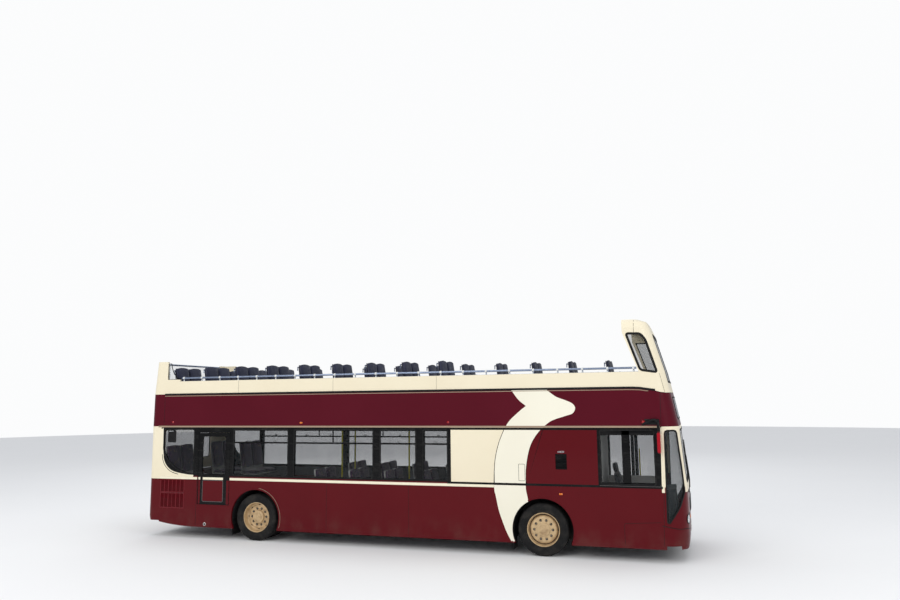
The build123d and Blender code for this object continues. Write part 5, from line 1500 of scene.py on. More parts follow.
def emergency_door():
    """Offside door: frame, pane with gasket, maroon skins, stripe, a grey bead that is painted highlight,
    hinges and a flush handle.
    """
    x0, x1, z0, z1 = -4.334, -3.566, 0.696, 2.164
    outer_y = -SIDE
    frame_form = Form()
    window = rounded(-4.24, -3.66, 1.3, 2.1, 0.04)
    hoop(frame_form, rounded(x0, x1, z0, z1, 0.012), window, side_place(-1, -0.038), 0.038)
    frame_form.sweep(side_path(window, -1), (0, -1, 0), GASKET_SECTION, closed=True)
    frame_form.bar((x0 + 0.004, outer_y + 0.034, z0 + 0.004), (x0 + 0.014, outer_y - 0.004, z1 - 0.004),
                   0.003)
    door = frame_form.piece("emergency_door_frame", BLACK, "emergency_door", "black_frame")
    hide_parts("emergency_door")
    pane = Form().sheet(rounded(-4.246, -3.654, 1.294, 2.106, 0.04), side_place(-1, -0.022), 0.006)
    pane.piece("emergency_door_pane", GLASS, "emergency_door", "glass")
    panel = Form()
    panel.sheet(rounded(-4.21, -3.715, 0.755, 1.185, 0.03), side_place(-1, -0.001), 0.003)
    for start, end in ((x0 + 0.018, -4.272), (-3.632, x1 - 0.006)):
        panel.sheet(rounded(start, end, z0 + 0.008, 1.19, 0.006), side_place(-1, -0.001), 0.0026)
    panel.piece("emergency_door_skin", MAROON, "emergency_door", "maroon_paint")
    stripe = Form()
    for start, end in ((x0 + 0.018, -4.272), (-4.21, -3.715)):
        stripe.bar((start, -SIDE + 0.001, 1.198), (end, -SIDE - PLATE, 1.246), 0.0008)
    stripe.piece("emergency_door_stripe", CREAM_LINE, "emergency_door", "cream_paint")
    # Grey bead round the lower panel: painted highlight on its raised edge.
    line = Form()
    line.sweep(side_path(rounded(-4.212, -3.713, 0.753, 1.187, 0.03), -1, 0.0018), (0, -1, 0),
               bead(0.014, 0.004), closed=True)
    line.piece("emergency_door_highlight_bead", GREY_TRIM_AND_HIGHLIGHT, "emergency_door")
    handle = Form()
    handle.turned([(0, 0.0), (0.024, 0.0), (0.024, 0.006), (0.02, 0.009), (0, 0.009)],
                  (-4.24, outer_y, 1.08),
                  (0, -1, 0), 24)
    handle.bar((-4.249, outer_y - 0.006, 1.02), (-4.231, outer_y - 0.016, 1.092), 0.004, 2)
    handle.piece("emergency_door_handle", SATIN_BLACK, "emergency_door")
    hinges = Form()
    for z in (0.86, 1.45, 1.98):
        hinges.tube([(-3.585, outer_y + 0.0025, z - 0.05), (-3.585, outer_y + 0.0025, z + 0.05)], 0.005, 10)
    hinges.piece("emergency_door_hinges", SATIN_BLACK, "emergency_door")


def entrance():
    """Two leaves that swing outward: black alloy frames, full glass, edge seals and grips."""
    for name, x0, x1 in (("rear", 3.906, 4.467), ("front", 4.473, 5.034)):
        body = "entrance_leaf_" + name
        z0, z1 = 0.336, 2.244
        window = rounded(x0 + 0.055, x1 - 0.055, z0 + 0.13, z1 - 0.065, 0.05)
        form = Form()
        hoop(form, rounded(x0, x1, z0, z1, 0.015), window, side_place(1, -0.038), 0.038)
        leaf = form.piece("entrance_frame_" + name, BLACK, body, "black_frame")
        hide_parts(body)
        seal = Form().sweep(side_path(window, 1), (0, 1, 0), GASKET_SECTION, closed=True)
        lead = x1 - 0.004 if name == "rear" else x0 + 0.004
        seal.bar((lead - 0.003, SIDE - 0.034, z0 + 0.02), (lead + 0.003, SIDE - 0.004, z1 - 0.02), 0.002)
        seal.piece("entrance_seals_" + name, GASKET, body)
        pane = Form().sheet(rounded(x0 + 0.05, x1 - 0.05, z0 + 0.125, z1 - 0.06, 0.05),
                            side_place(1, -0.022), 0.006)
        pane.piece("entrance_pane_" + name, GLASS, body, "glass")
        grip = Form()
        x = x1 - 0.1 if name == "rear" else x0 + 0.1
        grip.tube(curve_through([(x, SIDE - 0.036, 0.95), (x, SIDE - 0.075, 0.99), (x, SIDE - 0.08, 1.2),
                                 (x, SIDE - 0.08, 1.5), (x, SIDE - 0.075, 1.71), (x, SIDE - 0.036, 1.75)],
                                5), 0.013, 10)
        grip.piece("entrance_grip_" + name, YELLOW, body, "pole_yellow")


def front_details():
    """Destination glass, wipers, grille, bumper joint, lamps, blank plate and towing cover."""
    glass = Form()
    nose_plate(glass, 0.78, 2.42, 2.8, 0.05, 0.0025)
    glass.piece("destination_glass", BLIND_BLACK, slot="black_frame")
    line = dense(rounded(-0.78, 0.78, 2.42, 2.8, 0.05), 0.06, closed=True)
    seal = Form()
    skin_sweep(seal, [nose_spot(y, z, 0.002) for y, z in line], GASKET_SECTION, closed=True)
    seal.piece("destination_seal", GASKET)
    wipers, blades = Form(), Form()
    for pivot, tip in ((-0.62, -0.12), (0.12, 0.62)):
        foot, out = nose_spot(pivot, 1.15, 0.008)
        wipers.turned([(0, -0.012), (0.03, -0.012), (0.03, 0.002), (0.022, 0.01), (0, 0.012)], foot, out,
                      20)
        arm = [foot + out * 0.006]
        for share in (0.2, 0.45, 0.7, 0.85):
            arm.append(nose_spot(pivot + (tip - pivot) * share, 1.15 + 0.6 * share, 0.02)[0])
        wipers.tube(arm, 0.0065, 8)
        wipers.bar(arm[-1] - Vector((0.006, 0.02, 0.02)), arm[-1] + Vector((0.004, 0.02, 0.02)), 0.003)
        blade = [nose_spot(pivot + (tip - pivot) * s + 0.12 * (0.5 - s), 1.36 + 0.62 * s, 0.01)
                 for s in (0.1, 0.25, 0.4, 0.55, 0.7, 0.85, 1.0)]
        skin_sweep(blades, blade,
                   [(-0.008, -0.003), (0.002, -0.006), (0.008, -0.004), (0.008, 0.004), (0.002, 0.006),
                    (-0.008, 0.003)])
    wipers.piece("wiper_arms", SATIN_BLACK)
    blades.piece("wiper_blades", GASKET)
    grille = Form()
    nose_plate(grille, 0.52, 0.78, 1.02, 0.03, 0.003)
    for i in range(7):
        z = 0.806 + i * 0.0315
        skin_sweep(grille, [nose_spot(y, z, 0.003) for y in (-0.5, -0.3, -0.1, 0.1, 0.3, 0.5)],
                   [(0, -0.009), (0.01, -0.006), (0.012, 0.0), (0.004, 0.009), (0, 0.009)])
    grille.piece("front_grille", SATIN_BLACK, slot="black_frame")
    bumper = Form()
    drop = ((5.06, 0.627), (5.15, 0.61), (5.25, 0.59), (5.33, 0.572))
    near, far = ([corner_spot(sign, x, z) for x, z in dense(drop, 0.03)] for sign in (-1, 1))
    middle = []
    for spot, normal in nose_path(0.55, 24, 24):
        if abs(spot.y) < far[-1][0].y - 0.02:
            level = 0.5 + 0.07 * min(1.0, abs(spot.y) / 1.1) ** 3
            on_corner = Vector((spot.x, spot.y, level)), normal
            middle.append(nose_spot(spot.y, level) if abs(spot.y) < 0.97 else on_corner)
    skin_sweep(bumper, near + middle + far[::-1], bead(0.012, 0.004))
    bumper.piece("bumper_joint", GASKET)
    for sign in (-1, 1):
        name = "offside" if sign < 0 else "nearside"
        lens, bezel, amber = Form(), Form(), Form()
        for y in (1.0, 0.83):
            centre, out = nose_spot(sign * y, 0.72) if y < 0.95 else corner_lamp(sign * y, 0.72)
            lens.turned([(0, 0.005), (0.03, 0.0045), (0.055, 0.0035), (0.07, 0.001), (0.072, -0.004),
                         (0, -0.004)],
                        centre, out, 36)
            bezel.turned([(0.071, -0.004), (0.071, 0.003), (0.075, 0.005), (0.083, 0.005), (0.088, 0.001),
                          (0.088, -0.006)],
                         centre, out, 36, closed=True)
        lens.piece("headlamp_lens_" + name, CLEAR_LENS, slot="lamp_lens")
        bezel.piece("headlamp_bezel_" + name, SATIN_BLACK)
        centre, out = nose_spot(sign * 0.66, 0.72)
        amber.turned([(0, 0.012), (0.03, 0.01), (0.042, 0.003), (0.043, -0.003), (0, -0.003)], centre, out,
                     28)
        amber.piece("front_indicator_" + name, AMBER_LENS, slot="lamp_lens")
        centre, out = nose_spot(sign * 0.7, 0.42)
        fog = Form().turned([(0, 0.008), (0.035, 0.006), (0.044, 0.0), (0.044, -0.004), (0, -0.004)],
                            centre, out, 28)
        fog.piece("front_fog_lens_" + name, CLEAR_LENS)
    plate = Form()
    nose_plate(plate, 0.26, 0.405, 0.515, 0.012, 0.005)
    plate.piece("front_plate_blank", WHITE_PLATE)
    cover = Form()
    spots = [nose_spot(y, z) for y, z in dense(rounded(0.36, 0.5, 0.42, 0.5, 0.02), 0.1, closed=True)]
    skin_sweep(cover, spots, flat_strip(0.005, 0.0015), closed=True)
    cover.piece("towing_cover_line", GASKET)


def corner_lamp(y, z):
    """Point and direction for a lamp near a front corner, between the nose and the corner arc."""
    line = nose_path(z, 30, 40)
    return min(line, key=lambda spot: abs(spot[0].y - y))


def rear_details():
    """Rear lamps, lid joint, louvres and latches, blank plate, band trims, bumper bar and screen posts."""
    for sign in (-1, 1):
        name = "offside" if sign < 0 else "nearside"
        for height, material, label in ((0.7, AMBER_LENS, "indicator"), (0.86, RED_LENS, "tail"),
                                        (1.02, RED_LENS, "stop")):
            centre = Vector((REAR, sign * 1.05, height))
            lens = Form().turned([(0, 0.012), (0.025, 0.011), (0.042, 0.007), (0.05, 0.0), (0.051, -0.006),
                                  (0, -0.006)],
                                 centre + Vector((0.004, 0, 0)), (-1, 0, 0), 30)
            lens.piece("rear_" + label + "_lens_" + name, material, slot="lamp_lens")
            ring = Form().turned([(0.05, -0.004), (0.052, 0.006), (0.058, 0.009), (0.064, 0.006),
                                  (0.066, -0.004)],
                                 centre + Vector((0.003, 0, 0)), (-1, 0, 0), 30, closed=True)
            ring.piece("rear_" + label + "_ring_" + name, SATIN_BLACK)
        marker = Form().turned([(0, 0.01), (0.02, 0.009), (0.03, 0.003), (0.031, -0.004), (0, -0.004)],
                               (REAR + 0.008, sign * 1.0, 2.9), (-1, 0, 0), 24)
        marker.piece("rear_marker_" + name, RED_LENS, slot="lamp_lens")
    face = -5.5885
    lid_lines = Form()
    lid_lines.sweep([(face, y, z) for y, z in rounded(-0.885, 0.885, 0.445, 1.2, 0.03)], (-1, 0, 0),
                    flat_strip(0.006, 0.0012), closed=True)
    lid_lines.piece("lid_lines", GASKET, "engine_lid")
    slat = Form().bar((-0.0015, -0.26, -0.008), (0.006, 0.26, 0.008), 0.003, 2).done("slat", 40)
    starts = [Vector((face + 0.0005, y, 0.82)) for y in (-0.42, 0.42)]
    row_piece("lid_louvres", slat, starts, 11, Vector((0, 0, 0.03)), SATIN_BLACK, "engine_lid")
    handle = Form()
    for y in (-0.6, 0.6):
        handle.turned([(0, 0), (0.028, 0), (0.028, 0.003), (0.024, 0.006), (0, 0.006)],
                      (face + 0.004, y, 0.52),
                      (-1, 0, 0), 24)
    handle.piece("lid_latches", ALUMINIUM, "engine_lid")
    plate = Form()
    plate.sheet(rounded(-0.26, 0.26, 0.6, 0.71, 0.012), lambda y, z, d: Vector((face + 0.002 - d, y, z)),
                0.004)
    plate.piece("rear_plate_blank", YELLOW_PLATE, "engine_lid")
    trims = Form()
    for z in (2.305, 2.981):
        trims.bar((REAR, -1.12, z - 0.012), (REAR - 0.004, 1.12, z + 0.012), 0.002)
    trims.piece("rear_band_trims", BEIGE_LINE)
    foot = Form()
    foot.bar((REAR + 0.03, -1.1, 0.338), (REAR, 1.1, 0.41), 0.012, 3)
    foot.piece("rear_bumper_bar", SATIN_BLACK)
    posts = Form()
    for y in (-0.8165, 0.8165):
        posts.bar((REAR + 0.066, y - 0.008, 3.31), (REAR + 0.084, y + 0.008, 3.65), 0.003)
    posts.piece("rear_screen_posts", ALUMINIUM)
    edges = Form()
    for sign in (-1, 1):
        edge = [(-5.19, 3.3), (-4.87, 3.3), (-4.96, 3.33), (-5.05, 3.44), (-5.1, 3.56), (-5.12, 3.65),
                (-5.19, 3.65)]
        edges.sweep([(x, sign * 1.255, z) for x, z in edge], (0, sign, 0),
                         [(-0.006, -0.006), (0.006, -0.006), (0.006, 0.006), (-0.006, 0.006)], closed=True)
    edges.piece("side_screen_edges", GASKET)


def side_fittings():
    """Louvres with ribs in a lighter maroon that is painted highlight, panel lines, vents, marker lamps,
    jacking holes with black discs of painted shade, cab window bars, and quarter window lips with a dark
    strip of painted shadow.
    """
    slat = Form().bar((-0.007, -0.0005, 0), (0.007, 0.006, 0.27), 0.0025, 2).done("slat", 40)
    panel, ribs, lines, dark = Form(), Form(), Form(), Form()
    for sign in (-1, 1):
        for z0, z1 in ((0.6, 0.905), (0.925, 1.185)):
            ribs.sweep(side_path(rounded(-5.262, -4.67, z0, z1, 0.004), sign), (0, sign, 0),
                       bead(0.014, 0.006),
                       closed=True)
            for k in range(1, 6):
                x = -5.262 + 0.0987 * k
                ribs.bar((x - 0.006, sign * (SIDE - 0.004), z0), (x + 0.006, sign * (SIDE + 0.006), z1),
                         0.003, 2)
        lines.bar((-5.262, sign * (SIDE - 0.001), 0.911), (-4.67, sign * (SIDE + 0.0016), 0.919), 0.0005)
    slats = copies(slat, ROW, 21, Vector((0.0275, 0, 0)), MAROON)
    for sign in (-1, 1):
        turn = Matrix.Diagonal((1, sign, 1, 1))
        for z in (0.618, 0.9225):
            panel.add(slats, Matrix.Translation((-5.241, sign * (SIDE - 0.0025), z)) @ turn)
    panel.piece("louvre_slats", MAROON, slot="maroon_paint")
    # Frame beads and ribs in a lighter maroon: painted highlight on their raised edges.
    ribs.piece("louvre_ribs_painted_highlight", HIGHLIGHT_MAROON, slot="maroon_paint")
    lines.sweep(side_path(rounded(2.575, 2.69, 1.327, 1.623, 0.012), -1, PLATE), (0, -1, 0),
                flat_strip(0.006, 0.0012),
                closed=True)
    for points in (((4.425, 0.614), (4.44, 0.64), (5.041, 0.679)), ((4.425, 0.614), (4.43, 0.29))):
        run_on_side(lines, points, -1, flat_strip(0.006, 0.0012), 0.3)
    lines.piece("side_panel_lines", GASKET)
    dark.sheet(rounded(3.257, 3.458, 1.542, 1.813, 0.004), side_place(-1, -0.0195), 0.002)
    dark.sheet(rounded(-5.13, -4.92, 1.96, 2.22, 0.02), side_place(-1, -0.008), 0.004)
    dark.piece("dark_vents", SATIN_BLACK)
    blades = Form()
    section = ((0.002, -0.012), (0.005, -0.012), (0.017, 0.012), (0.014, 0.012))
    for i in range(9):
        blades.rings([[(x, y - SIDE, 1.565 + i * 0.028 + dz) for y, dz in section] for x in (3.257, 3.458)])
    blades.piece("vent_blades", BLACK)
    lamp = Form().bar((3.3, -SIDE, 1.835), (3.42, -SIDE - 0.012, 1.865), 0.005, 2)
    lamp.bar((-5.095, -SIDE + 0.004, 2.188), (-4.99, -SIDE - 0.006, 2.208), 0.004, 2)
    lamp.piece("vent_lamp", CLEAR_LENS)
    amber, red = Form(), Form()
    for sign in (-1, 1):
        for x, z in ((3.336, 1.109), (-1.904, 2.373)):
            amber.bar((x - 0.032, sign * (SIDE - 0.001), z - 0.016),
                      (x + 0.032, sign * (SIDE + 0.011), z + 0.016),
                      0.005, 2)
        for x, z, out in ((-5.007, 2.39, 0), (1.228, 2.382, 0), (4.821, 2.381, 0.013)):
            red.turned([(0, 0.012), (0.012, 0.011), (0.022, 0.005), (0.024, -0.001), (0, -0.001)],
                       (x, sign * (SIDE + out), z), (0, sign, 0), 20)
    amber.piece("amber_markers", AMBER_LENS, slot="lamp_lens")
    red.piece("red_markers", RED_LENS, slot="lamp_lens")
    housing, ring, hole_shade_disc = Form(), Form(), Form()
    for sign in (-1, 1):
        housing.turned([(0.02, 0.014), (0.036, 0.013), (0.047, 0.007), (0.052, -0.001), (0.02, -0.001)],
                       (4.821, sign * SIDE, 2.381), (0, sign, 0), 28)
        jack = (-4.134, sign * SIDE, 0.293)
        ring.turned([(0.02, -0.003), (0.022, 0.004), (0.028, 0.006), (0.034, 0.003), (0.035, -0.002)],
                    jack, (0, sign, 0), 28, closed=True)
        # Flat black disc in the jacking hole: painted shade inside the hole.
        hole_shade_disc.turned([(0, 0.0006), (0.021, 0.0006), (0.021, -0.004), (0, -0.004)], jack, (0, sign, 0), 24)
    housing.piece("marker_housings", MAROON, slot="maroon_paint")
    ring.piece("jacking_hole_ring", ALUMINIUM)
    hole_shade_disc.piece("jacking_hole", SATIN_BLACK)
    bars = Form()
    bars.bar((4.434, -SIDE + 0.026, 1.31), (4.577, -SIDE + 0.001, 2.235), 0.006, 2)
    bars.bar((4.07, -SIDE + 0.026, 2.15), (4.98, -SIDE + 0.001, 2.235), 0.006, 2)
    bars.bar((4.07, -SIDE + 0.026, 1.305), (4.98, -SIDE + 0.001, 1.335), 0.006, 2)
    bars.piece("cab_window_frame", BLACK, slot="black_frame")
    sill = Form()
    run_on_side(sill, ((4.03, 1.276), (5.1, 1.276)), -1, bead(0.01, 0.006), 0.3)
    sill.piece("cab_window_sill", GREY_TRIM_AND_HIGHLIGHT)
    lip = Form()
    for sign in (-1, 1):
        lip.sweep([(x, sign * SIDE, z) for x, _, z in QUARTER_EDGE], (0, sign, 0), bead(0.02, 0.005))
    lip.piece("quarter_window_lip", CREAM_LINE)
    # Dark strip outside the lower rear curve of the lip: painted shadow of the lip.
    shade_strip = Form()
    line = []
    for (x0, _, z0), (x1, _, z1) in zip(QUARTER_EDGE, QUARTER_EDGE[1:]):
        if x1 < -4.74 and z0 < 1.75:
            run = math.hypot(x1 - x0, z1 - z0)
            line.append((x0 + 0.021 * (z1 - z0) / run, z0 - 0.021 * (x1 - x0) / run))
    for sign in (-1, 1):
        run_on_side(shade_strip, line, sign, flat_strip(0.014, 0.0032))
    shade_strip.piece("quarter_window_lip_shadow", GASKET)


def deck_details():
    """Rail clamps, edge trims, stair nosings, the stair well's rails and guard, and the deck's linings."""
    clamp = Form()
    clamp.turned([(0.0195, -0.02), (0.025, -0.018), (0.0265, 0), (0.025, 0.018), (0.0195, 0.02)], (0, 0, 0),
                 (1, 0, 0),
                 16, closed=True)
    clamp.turned([(0, 0.0), (0.019, 0.0), (0.019, 0.004), (0.014, 0.008), (0.0125, 0.03), (0, 0.03)],
                 (0, 0, -0.07),
                 (0, 0, 1), 16)
    step = (4.69 - -4.78) / 21
    unit = clamp.done("clamp", 40)
    row_piece("rail_clamps", unit, [Vector((-4.78, y, 3.33)) for y in (-1.2525, 1.2525)], 22,
              Vector((step, 0, 0)),
              PALE_TUBE)
    edge = Form()
    for sign in (-1, 1):
        edge.bar((-4.86, sign * 1.2325, 3.257), (4.75, sign * 1.272, 3.264), 0.002)
    edge.piece("deck_edge_trim", ALUMINIUM)
    nosings = Form()
    for x, z, y0, y1 in stair_treads():
        nosings.bar((x - 0.003, y0 + 0.01, z - 0.03), (x + 0.045, y1 - 0.01, z + 0.003), 0.003)
    nosings.piece("stair_nosings", NOSING)
    rails, guard = Form(), Form()
    top = UPPER_FLOOR + 0.76
    rails.tube(curve_through([(3.98, -0.59, UPPER_FLOOR), (3.98, -0.59, top - 0.1),
                              (3.97, -0.59, top - 0.03),
                              (3.95, -0.59, top - 0.01), (3.88, -0.59, top), (2.14, -0.59, top),
                              (2.07, -0.6, top),
                              (2.045, -0.62, top), (2.04, -0.69, top), (2.04, -1.215, top)], 6), 0.016, 10)
    for x, y in ((2.05, -0.6), (2.7, -0.59), (3.35, -0.59)):
        rails.tube([(x, y, UPPER_FLOOR), (x, y, top)], 0.013, 10)
    guard.bar((2.07, -0.6, UPPER_FLOOR + 0.03), (3.95, -0.588, top - 0.06), 0.003)
    guard.bar((2.034, -1.215, UPPER_FLOOR + 0.03), (2.046, -0.62, top - 0.06), 0.003)
    rails.piece("stair_well_rails", STEEL_SKY_REFLECTION)
    guard.piece("stair_well_guard", LINING)
    deck_linings()


def deck_linings():
    """Grey inner panels of the open deck below the side panels, with an alloy capping."""
    lining, capping = Form(), Form()
    near, far = 0.0455, 0.05
    inner = SIDE - near
    for sign in (-1, 1):
        lining.bar((-5.42, sign * inner, 2.482), (4.97, sign * (inner - 0.004), 2.99), 0.001)
        capping.bar((-5.42, sign * inner, 2.985), (4.97, sign * (inner - 0.007), 3.005), 0.003)
    around = [nose_path(z) for z in (2.482, 2.74, 2.99)]
    ends = [tail_path(z, REAR + back, -5.42) for z, back in ((2.482, 0.0035), (2.99, 0.0125))]
    for levels in (around, ends):
        lining.rings([[p - n * near for p, n in column] + [p - n * far for p, n in reversed(column)]
                      for column in zip(*levels)])
    lining.piece("deck_linings", LINING)
    capping.piece("lining_cappings", ALUMINIUM)


def saloon_linings():
    """Grey boards inside the lower saloon's walls, under the windows and in the cove over them."""
    boards = Form()
    inside = SIDE - 0.046
    runs = {-1: ((-5.2, -4.37, 0.82), (-3.53, -2.34, 1.06), (-2.34, -1.3, 0.82), (-1.3, 1.2, 0.4)),
            1: ((-5.2, -3.54, 0.82), (-3.54, -2.34, 1.06), (-2.34, -1.3, 0.82), (-1.3, 2.38, 0.4),
                (2.38, 3.59, 1.06),
                (3.59, 3.82, 0.4))}
    for sign, spans in runs.items():
        for x0, x1, low in spans:
            boards.bar((x0, sign * (inside - 0.003), low), (x1, sign * inside, 1.262), 0.0008)
        boards.bar((-5.2, sign * (inside - 0.003), 2.303), (5.0, sign * inside, 2.47), 0.0008)
    boards.piece("saloon_linings", SALOON_LINING)


def stair_treads():
    """Front edge X, height and width of each tread, read from the staircase solid."""
    node = NODES["staircase"]
    treads = {}
    for face in node.data.polygons:
        if face.normal.z > 0.95 and face.area > 0.01:
            points = [node.data.vertices[i].co for i in face.vertices]
            level = round(points[0].z, 3)
            spans = treads.setdefault(level, [9.0, -9.0, 9.0])
            spans[0] = min([spans[0]] + [p.x for p in points])
            spans[1] = max([spans[1]] + [p.y for p in points])
            spans[2] = min([spans[2]] + [p.y for p in points])
    return [(x - DATUM, z, y0, y1) for z, (x, y1, y0) in sorted(treads.items()) if z < UPPER_FLOOR - 0.02]


def cab_details():
    """Instruments, switches, cab gate, pedals and sun visor."""
    panel, dials, keys = Form(), Form(), Form()
    panel.bar((4.9, -1.0, 1.06), (4.935, -0.38, 1.21), 0.012, 3)
    for y in (-0.79, -0.69, -0.59):
        dials.turned([(0, 0.004), (0.03, 0.004), (0.034, 0.007), (0.038, 0.004), (0.038, 0), (0, 0)],
                     (4.9, y, 1.15),
                     (-1, 0, 0.2), 24)
    for i in range(8):
        keys.bar((4.894, -0.95 + i * 0.075, 1.085), (4.903, -0.92 + i * 0.075, 1.105), 0.002)
    panel.piece("instrument_binnacle", DASH, slot="dash_plastic")
    dials.piece("instrument_dials", SATIN_BLACK)
    keys.piece("switch_keys", INTERIOR)
    desk = Form().bar((4.3, -0.26, 1.16), (4.75, -0.18, 1.2), 0.01, 2)
    desk.bar((4.35, -0.25, FLOOR), (4.7, -0.2, 1.17), 0.01, 2)
    desk.piece("cab_gate", INTERIOR)
    pedals = Form()
    for y in (-0.62, -0.78):
        pedals.bar((5.0, y - 0.04, 0.44), (5.03, y + 0.04, 0.6), 0.006, 2)
        pedals.bar((5.02, y - 0.01, 0.4), (5.04, y + 0.01, 0.55), 0.004)
    pedals.piece("pedals", SATIN_BLACK)
    blind = Form().bar((5.16, -0.95, 1.98), (5.17, -0.1, 2.2), 0.003)
    blind.piece("sun_visor", SATIN_BLACK)


def mirror_details():
    """Red mirror cases with silver glass behind, on black arms from the deck band; the black plate on the
    band is partly the arm's mounting and partly painted shadow of the arm.
    """
    backs, silver = Form(), Form()
    for sign in (-1, 1):
        centre_y = sign * MIRROR_Y
        rings = []
        for x, grow in ((5.096, -0.03), (5.1, -0.014), (5.094, 0.0), (5.07, 0.004), (5.048, 0.0),
                        (5.044, -0.006)):
            rings.append([(x, centre_y + y, z) for y,
                          z in rounded(-0.068 - grow, 0.068 + grow, 1.848 - grow, 2.212 + grow,
                                       0.035)])
        backs.rings(rings[1:][::-1] + rings[:1])
        silver.rings([[(x, centre_y + y, z) for y, z in rounded(-0.056, 0.056, 1.862, 2.198, 0.028)]
                      for x in (5.0445, 5.0415)])
    arm_and_shadow_plates = Form()
    for sign in (-1, 1):
        # Black plate on the deck band: partly the arm's mounting, partly painted shadow of the arm.
        arm_and_shadow_plates.bar((4.84, sign * (SIDE - 0.001), 2.333), (5.09, sign * (SIDE + 0.012), 2.43), 0.004, 2)
        arm_and_shadow_plates.tube(curve_through([(4.8, sign * (SIDE - 0.006), 2.338),
                                     (4.88, sign * (SIDE + 0.018), 2.368),
                                     (4.96, sign * (SIDE + 0.04), 2.408), (5.03, sign * 1.335, 2.412),
                                     (5.07, sign * 1.352, 2.36), (5.073, sign * MIRROR_Y, 2.215)], 6),
                      0.025, 12)
    arm_and_shadow_plates.piece("mirror_arms_and_shadow_plates", SATIN_BLACK)
    backs.piece("mirror_backs", MIRROR_RED)
    silver.piece("mirror_glasses", MIRROR_GLASS)


def underside():
    """Exhaust, brake chambers and mudflaps."""
    pipe = Form()
    pipe.tube(curve_through([(-4.2, 0.3, 0.42), (-4.6, 0.62, 0.4), (-5.1, 0.72, 0.38), (-5.5, 0.74, 0.37)],
                            6), 0.045, 14)
    pipe.turned([(0, -0.35), (0.1, -0.34), (0.115, -0.31), (0.115, 0.31), (0.1, 0.34), (0, 0.35)],
                (-4.95, 0.72, 0.46),
                (1, 0, 0), 24)
    pipe.piece("exhaust", IRON)
    chambers = Form()
    for sign in (-1, 1):
        chambers.turned([(0, -0.08), (0.06, -0.075), (0.075, -0.06), (0.075, 0.0), (0.08, 0.01),
                         (0.075, 0.02),
                         (0.06, 0.07), (0, 0.075)], (AXLE_REAR + 0.2, sign * 0.52, HUB_Z + 0.02), (1, 0, 0),
                        20)
    chambers.piece("brake_chambers", CHASSIS)
    flaps = Form()
    for sign in (-1, 1):
        for x in (AXLE_REAR - 0.548, AXLE_FRONT - 0.548):
            flaps.bar((x, sign * 0.93, 0.1), (x + 0.006, sign * 1.24, 0.42), 0.002)
    flaps.piece("mudflaps", GASKET)


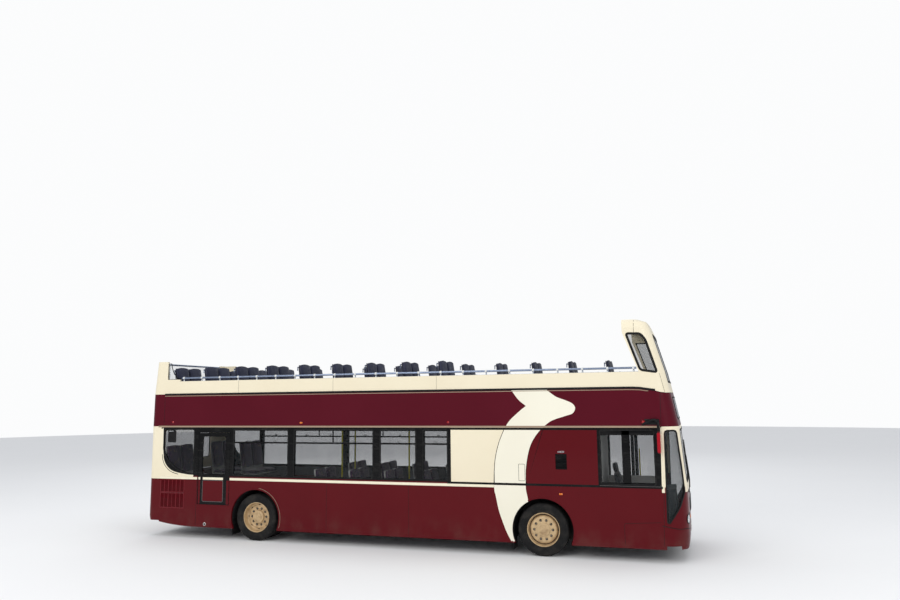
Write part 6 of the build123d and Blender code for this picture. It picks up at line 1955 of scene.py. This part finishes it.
def studio():
    """Pale floor, near-white surroundings and large soft lights."""
    floor = Form()
    steps = 96
    centre = floor.mesh.verts.new((0, 0, 0))
    rim = [floor.mesh.verts.new((60 * math.cos(2 * math.pi * k / steps),
                                 60 * math.sin(2 * math.pi * k / steps), 0))
           for k in range(steps)]
    for k in range(steps):
        floor.mesh.faces.new((centre, rim[k], rim[(k + 1) % steps]))
    mesh = floor.done("studio_floor", 30)
    stage = bpy.data.objects.new("studio_floor", mesh)
    bpy.context.scene.collection.objects.link(stage)
    finish = Finish("studio_floor_matt", (0.82, 0.82, 0.81), roughness=0.9)
    finish.tint(finish.span(finish.noise(0.4, 3.0), 0.3, 0.8, 0.0, 0.06), (0.7, 0.7, 0.7))
    finish.relief(finish.noise(30.0, 4.0), 0.02, 0.002)
    mesh.materials.append(finish.material)

    world = bpy.data.worlds.new("studio_world")
    bpy.context.scene.world = world
    world.use_nodes = True
    tree = world.node_tree
    shades = []
    for node, color, strength in ((tree.nodes["Background"], (0.93, 0.95, 1.0), 0.86),
                                  (tree.nodes.new("ShaderNodeBackground"), (0.9, 0.94, 1.0), 0.5),
                                  (tree.nodes.new("ShaderNodeBackground"), (0.97, 0.975, 0.98), 1.0)):
        node.inputs["Color"].default_value = (*color, 1)
        node.inputs["Strength"].default_value = strength
        shades.append(node.outputs[0])
    seen = tree.nodes.new("ShaderNodeLightPath")
    shown = shades[0]
    for ray, shade in (("Is Glossy Ray", shades[1]), ("Is Camera Ray", shades[2])):
        mix = tree.nodes.new("ShaderNodeMixShader")
        tree.links.new(seen.outputs[ray], mix.inputs[0])
        tree.links.new(shown, mix.inputs[1])
        tree.links.new(shade, mix.inputs[2])
        shown = mix.outputs[0]
    tree.links.new(shown, tree.nodes["World Output"].inputs["Surface"])

    for name, place, target, size, power, color in (
            ("key_soft", (-7, -20, 13), (0, -1, 1.6), (14, 8), 1500, (1.0, 0.985, 0.96)),
            ("front_soft", (17, -11, 8), (4, 0, 2.0), (8, 6), 600, (1.0, 0.99, 0.97)),
            ("top_soft", (0, 0, 14), (0, 0, 2), (20, 8), 500, (0.96, 0.98, 1.0)),
            ("back_soft", (-6, 19, 9), (0, 0, 2), (14, 6), 500, (0.96, 0.98, 1.0))):
        data = bpy.data.lights.new(name, "AREA")
        data.shape = "RECTANGLE"
        data.size, data.size_y = size
        data.energy = power
        data.color = color
        lamp = bpy.data.objects.new(name, data)
        bpy.context.scene.collection.objects.link(lamp)
        lamp.location = place
        lamp.rotation_euler = (Vector(target) - Vector(place)).to_track_quat("-Z", "Y").to_euler()
        lamp.visible_camera = False


def photo_camera():
    """Camera where the photograph was taken from: 900 by 600, focal length 732.5 pixels."""
    data = bpy.data.cameras.new("photo_camera")
    data.sensor_width = 36
    data.lens = 36 * 732.464 / 900
    data.clip_start = 0.1
    data.clip_end = 300
    camera = bpy.data.objects.new("photo_camera", data)
    bpy.context.scene.collection.objects.link(camera)
    yaw, pitch, roll = map(math.radians, (17.811, 7.704, -0.653))
    right = Vector((math.cos(yaw), math.sin(yaw), 0))
    ahead = Vector((-math.sin(yaw) * math.cos(pitch), math.cos(yaw) * math.cos(pitch), math.sin(pitch)))
    up = right.cross(ahead)
    turned_right = right * math.cos(roll) + up * math.sin(roll)
    turned_up = up * math.cos(roll) - right * math.sin(roll)
    place = (5.6 + DATUM, -14.675, 2.815)
    matrix = Matrix.Identity(4)
    for row in range(3):
        matrix[row] = (turned_right[row], turned_up[row], -ahead[row], place[row])
    camera.matrix_world = matrix
    bpy.context.scene.camera = camera
    bpy.context.scene.view_settings.view_transform = "Standard"
    bpy.context.scene.view_settings.look = "None"


dress_nodes()
rising_skirts()
livery()
gaskets()
front_seals()
side_mouldings()
arch_lips()
front_seam()
wheel_dressing()
seats()
driver_place()
emergency_door()
entrance()
front_details()
rear_details()
side_fittings()
deck_details()
saloon_linings()
cab_details()
mirror_details()
underside()
studio()
photo_camera()
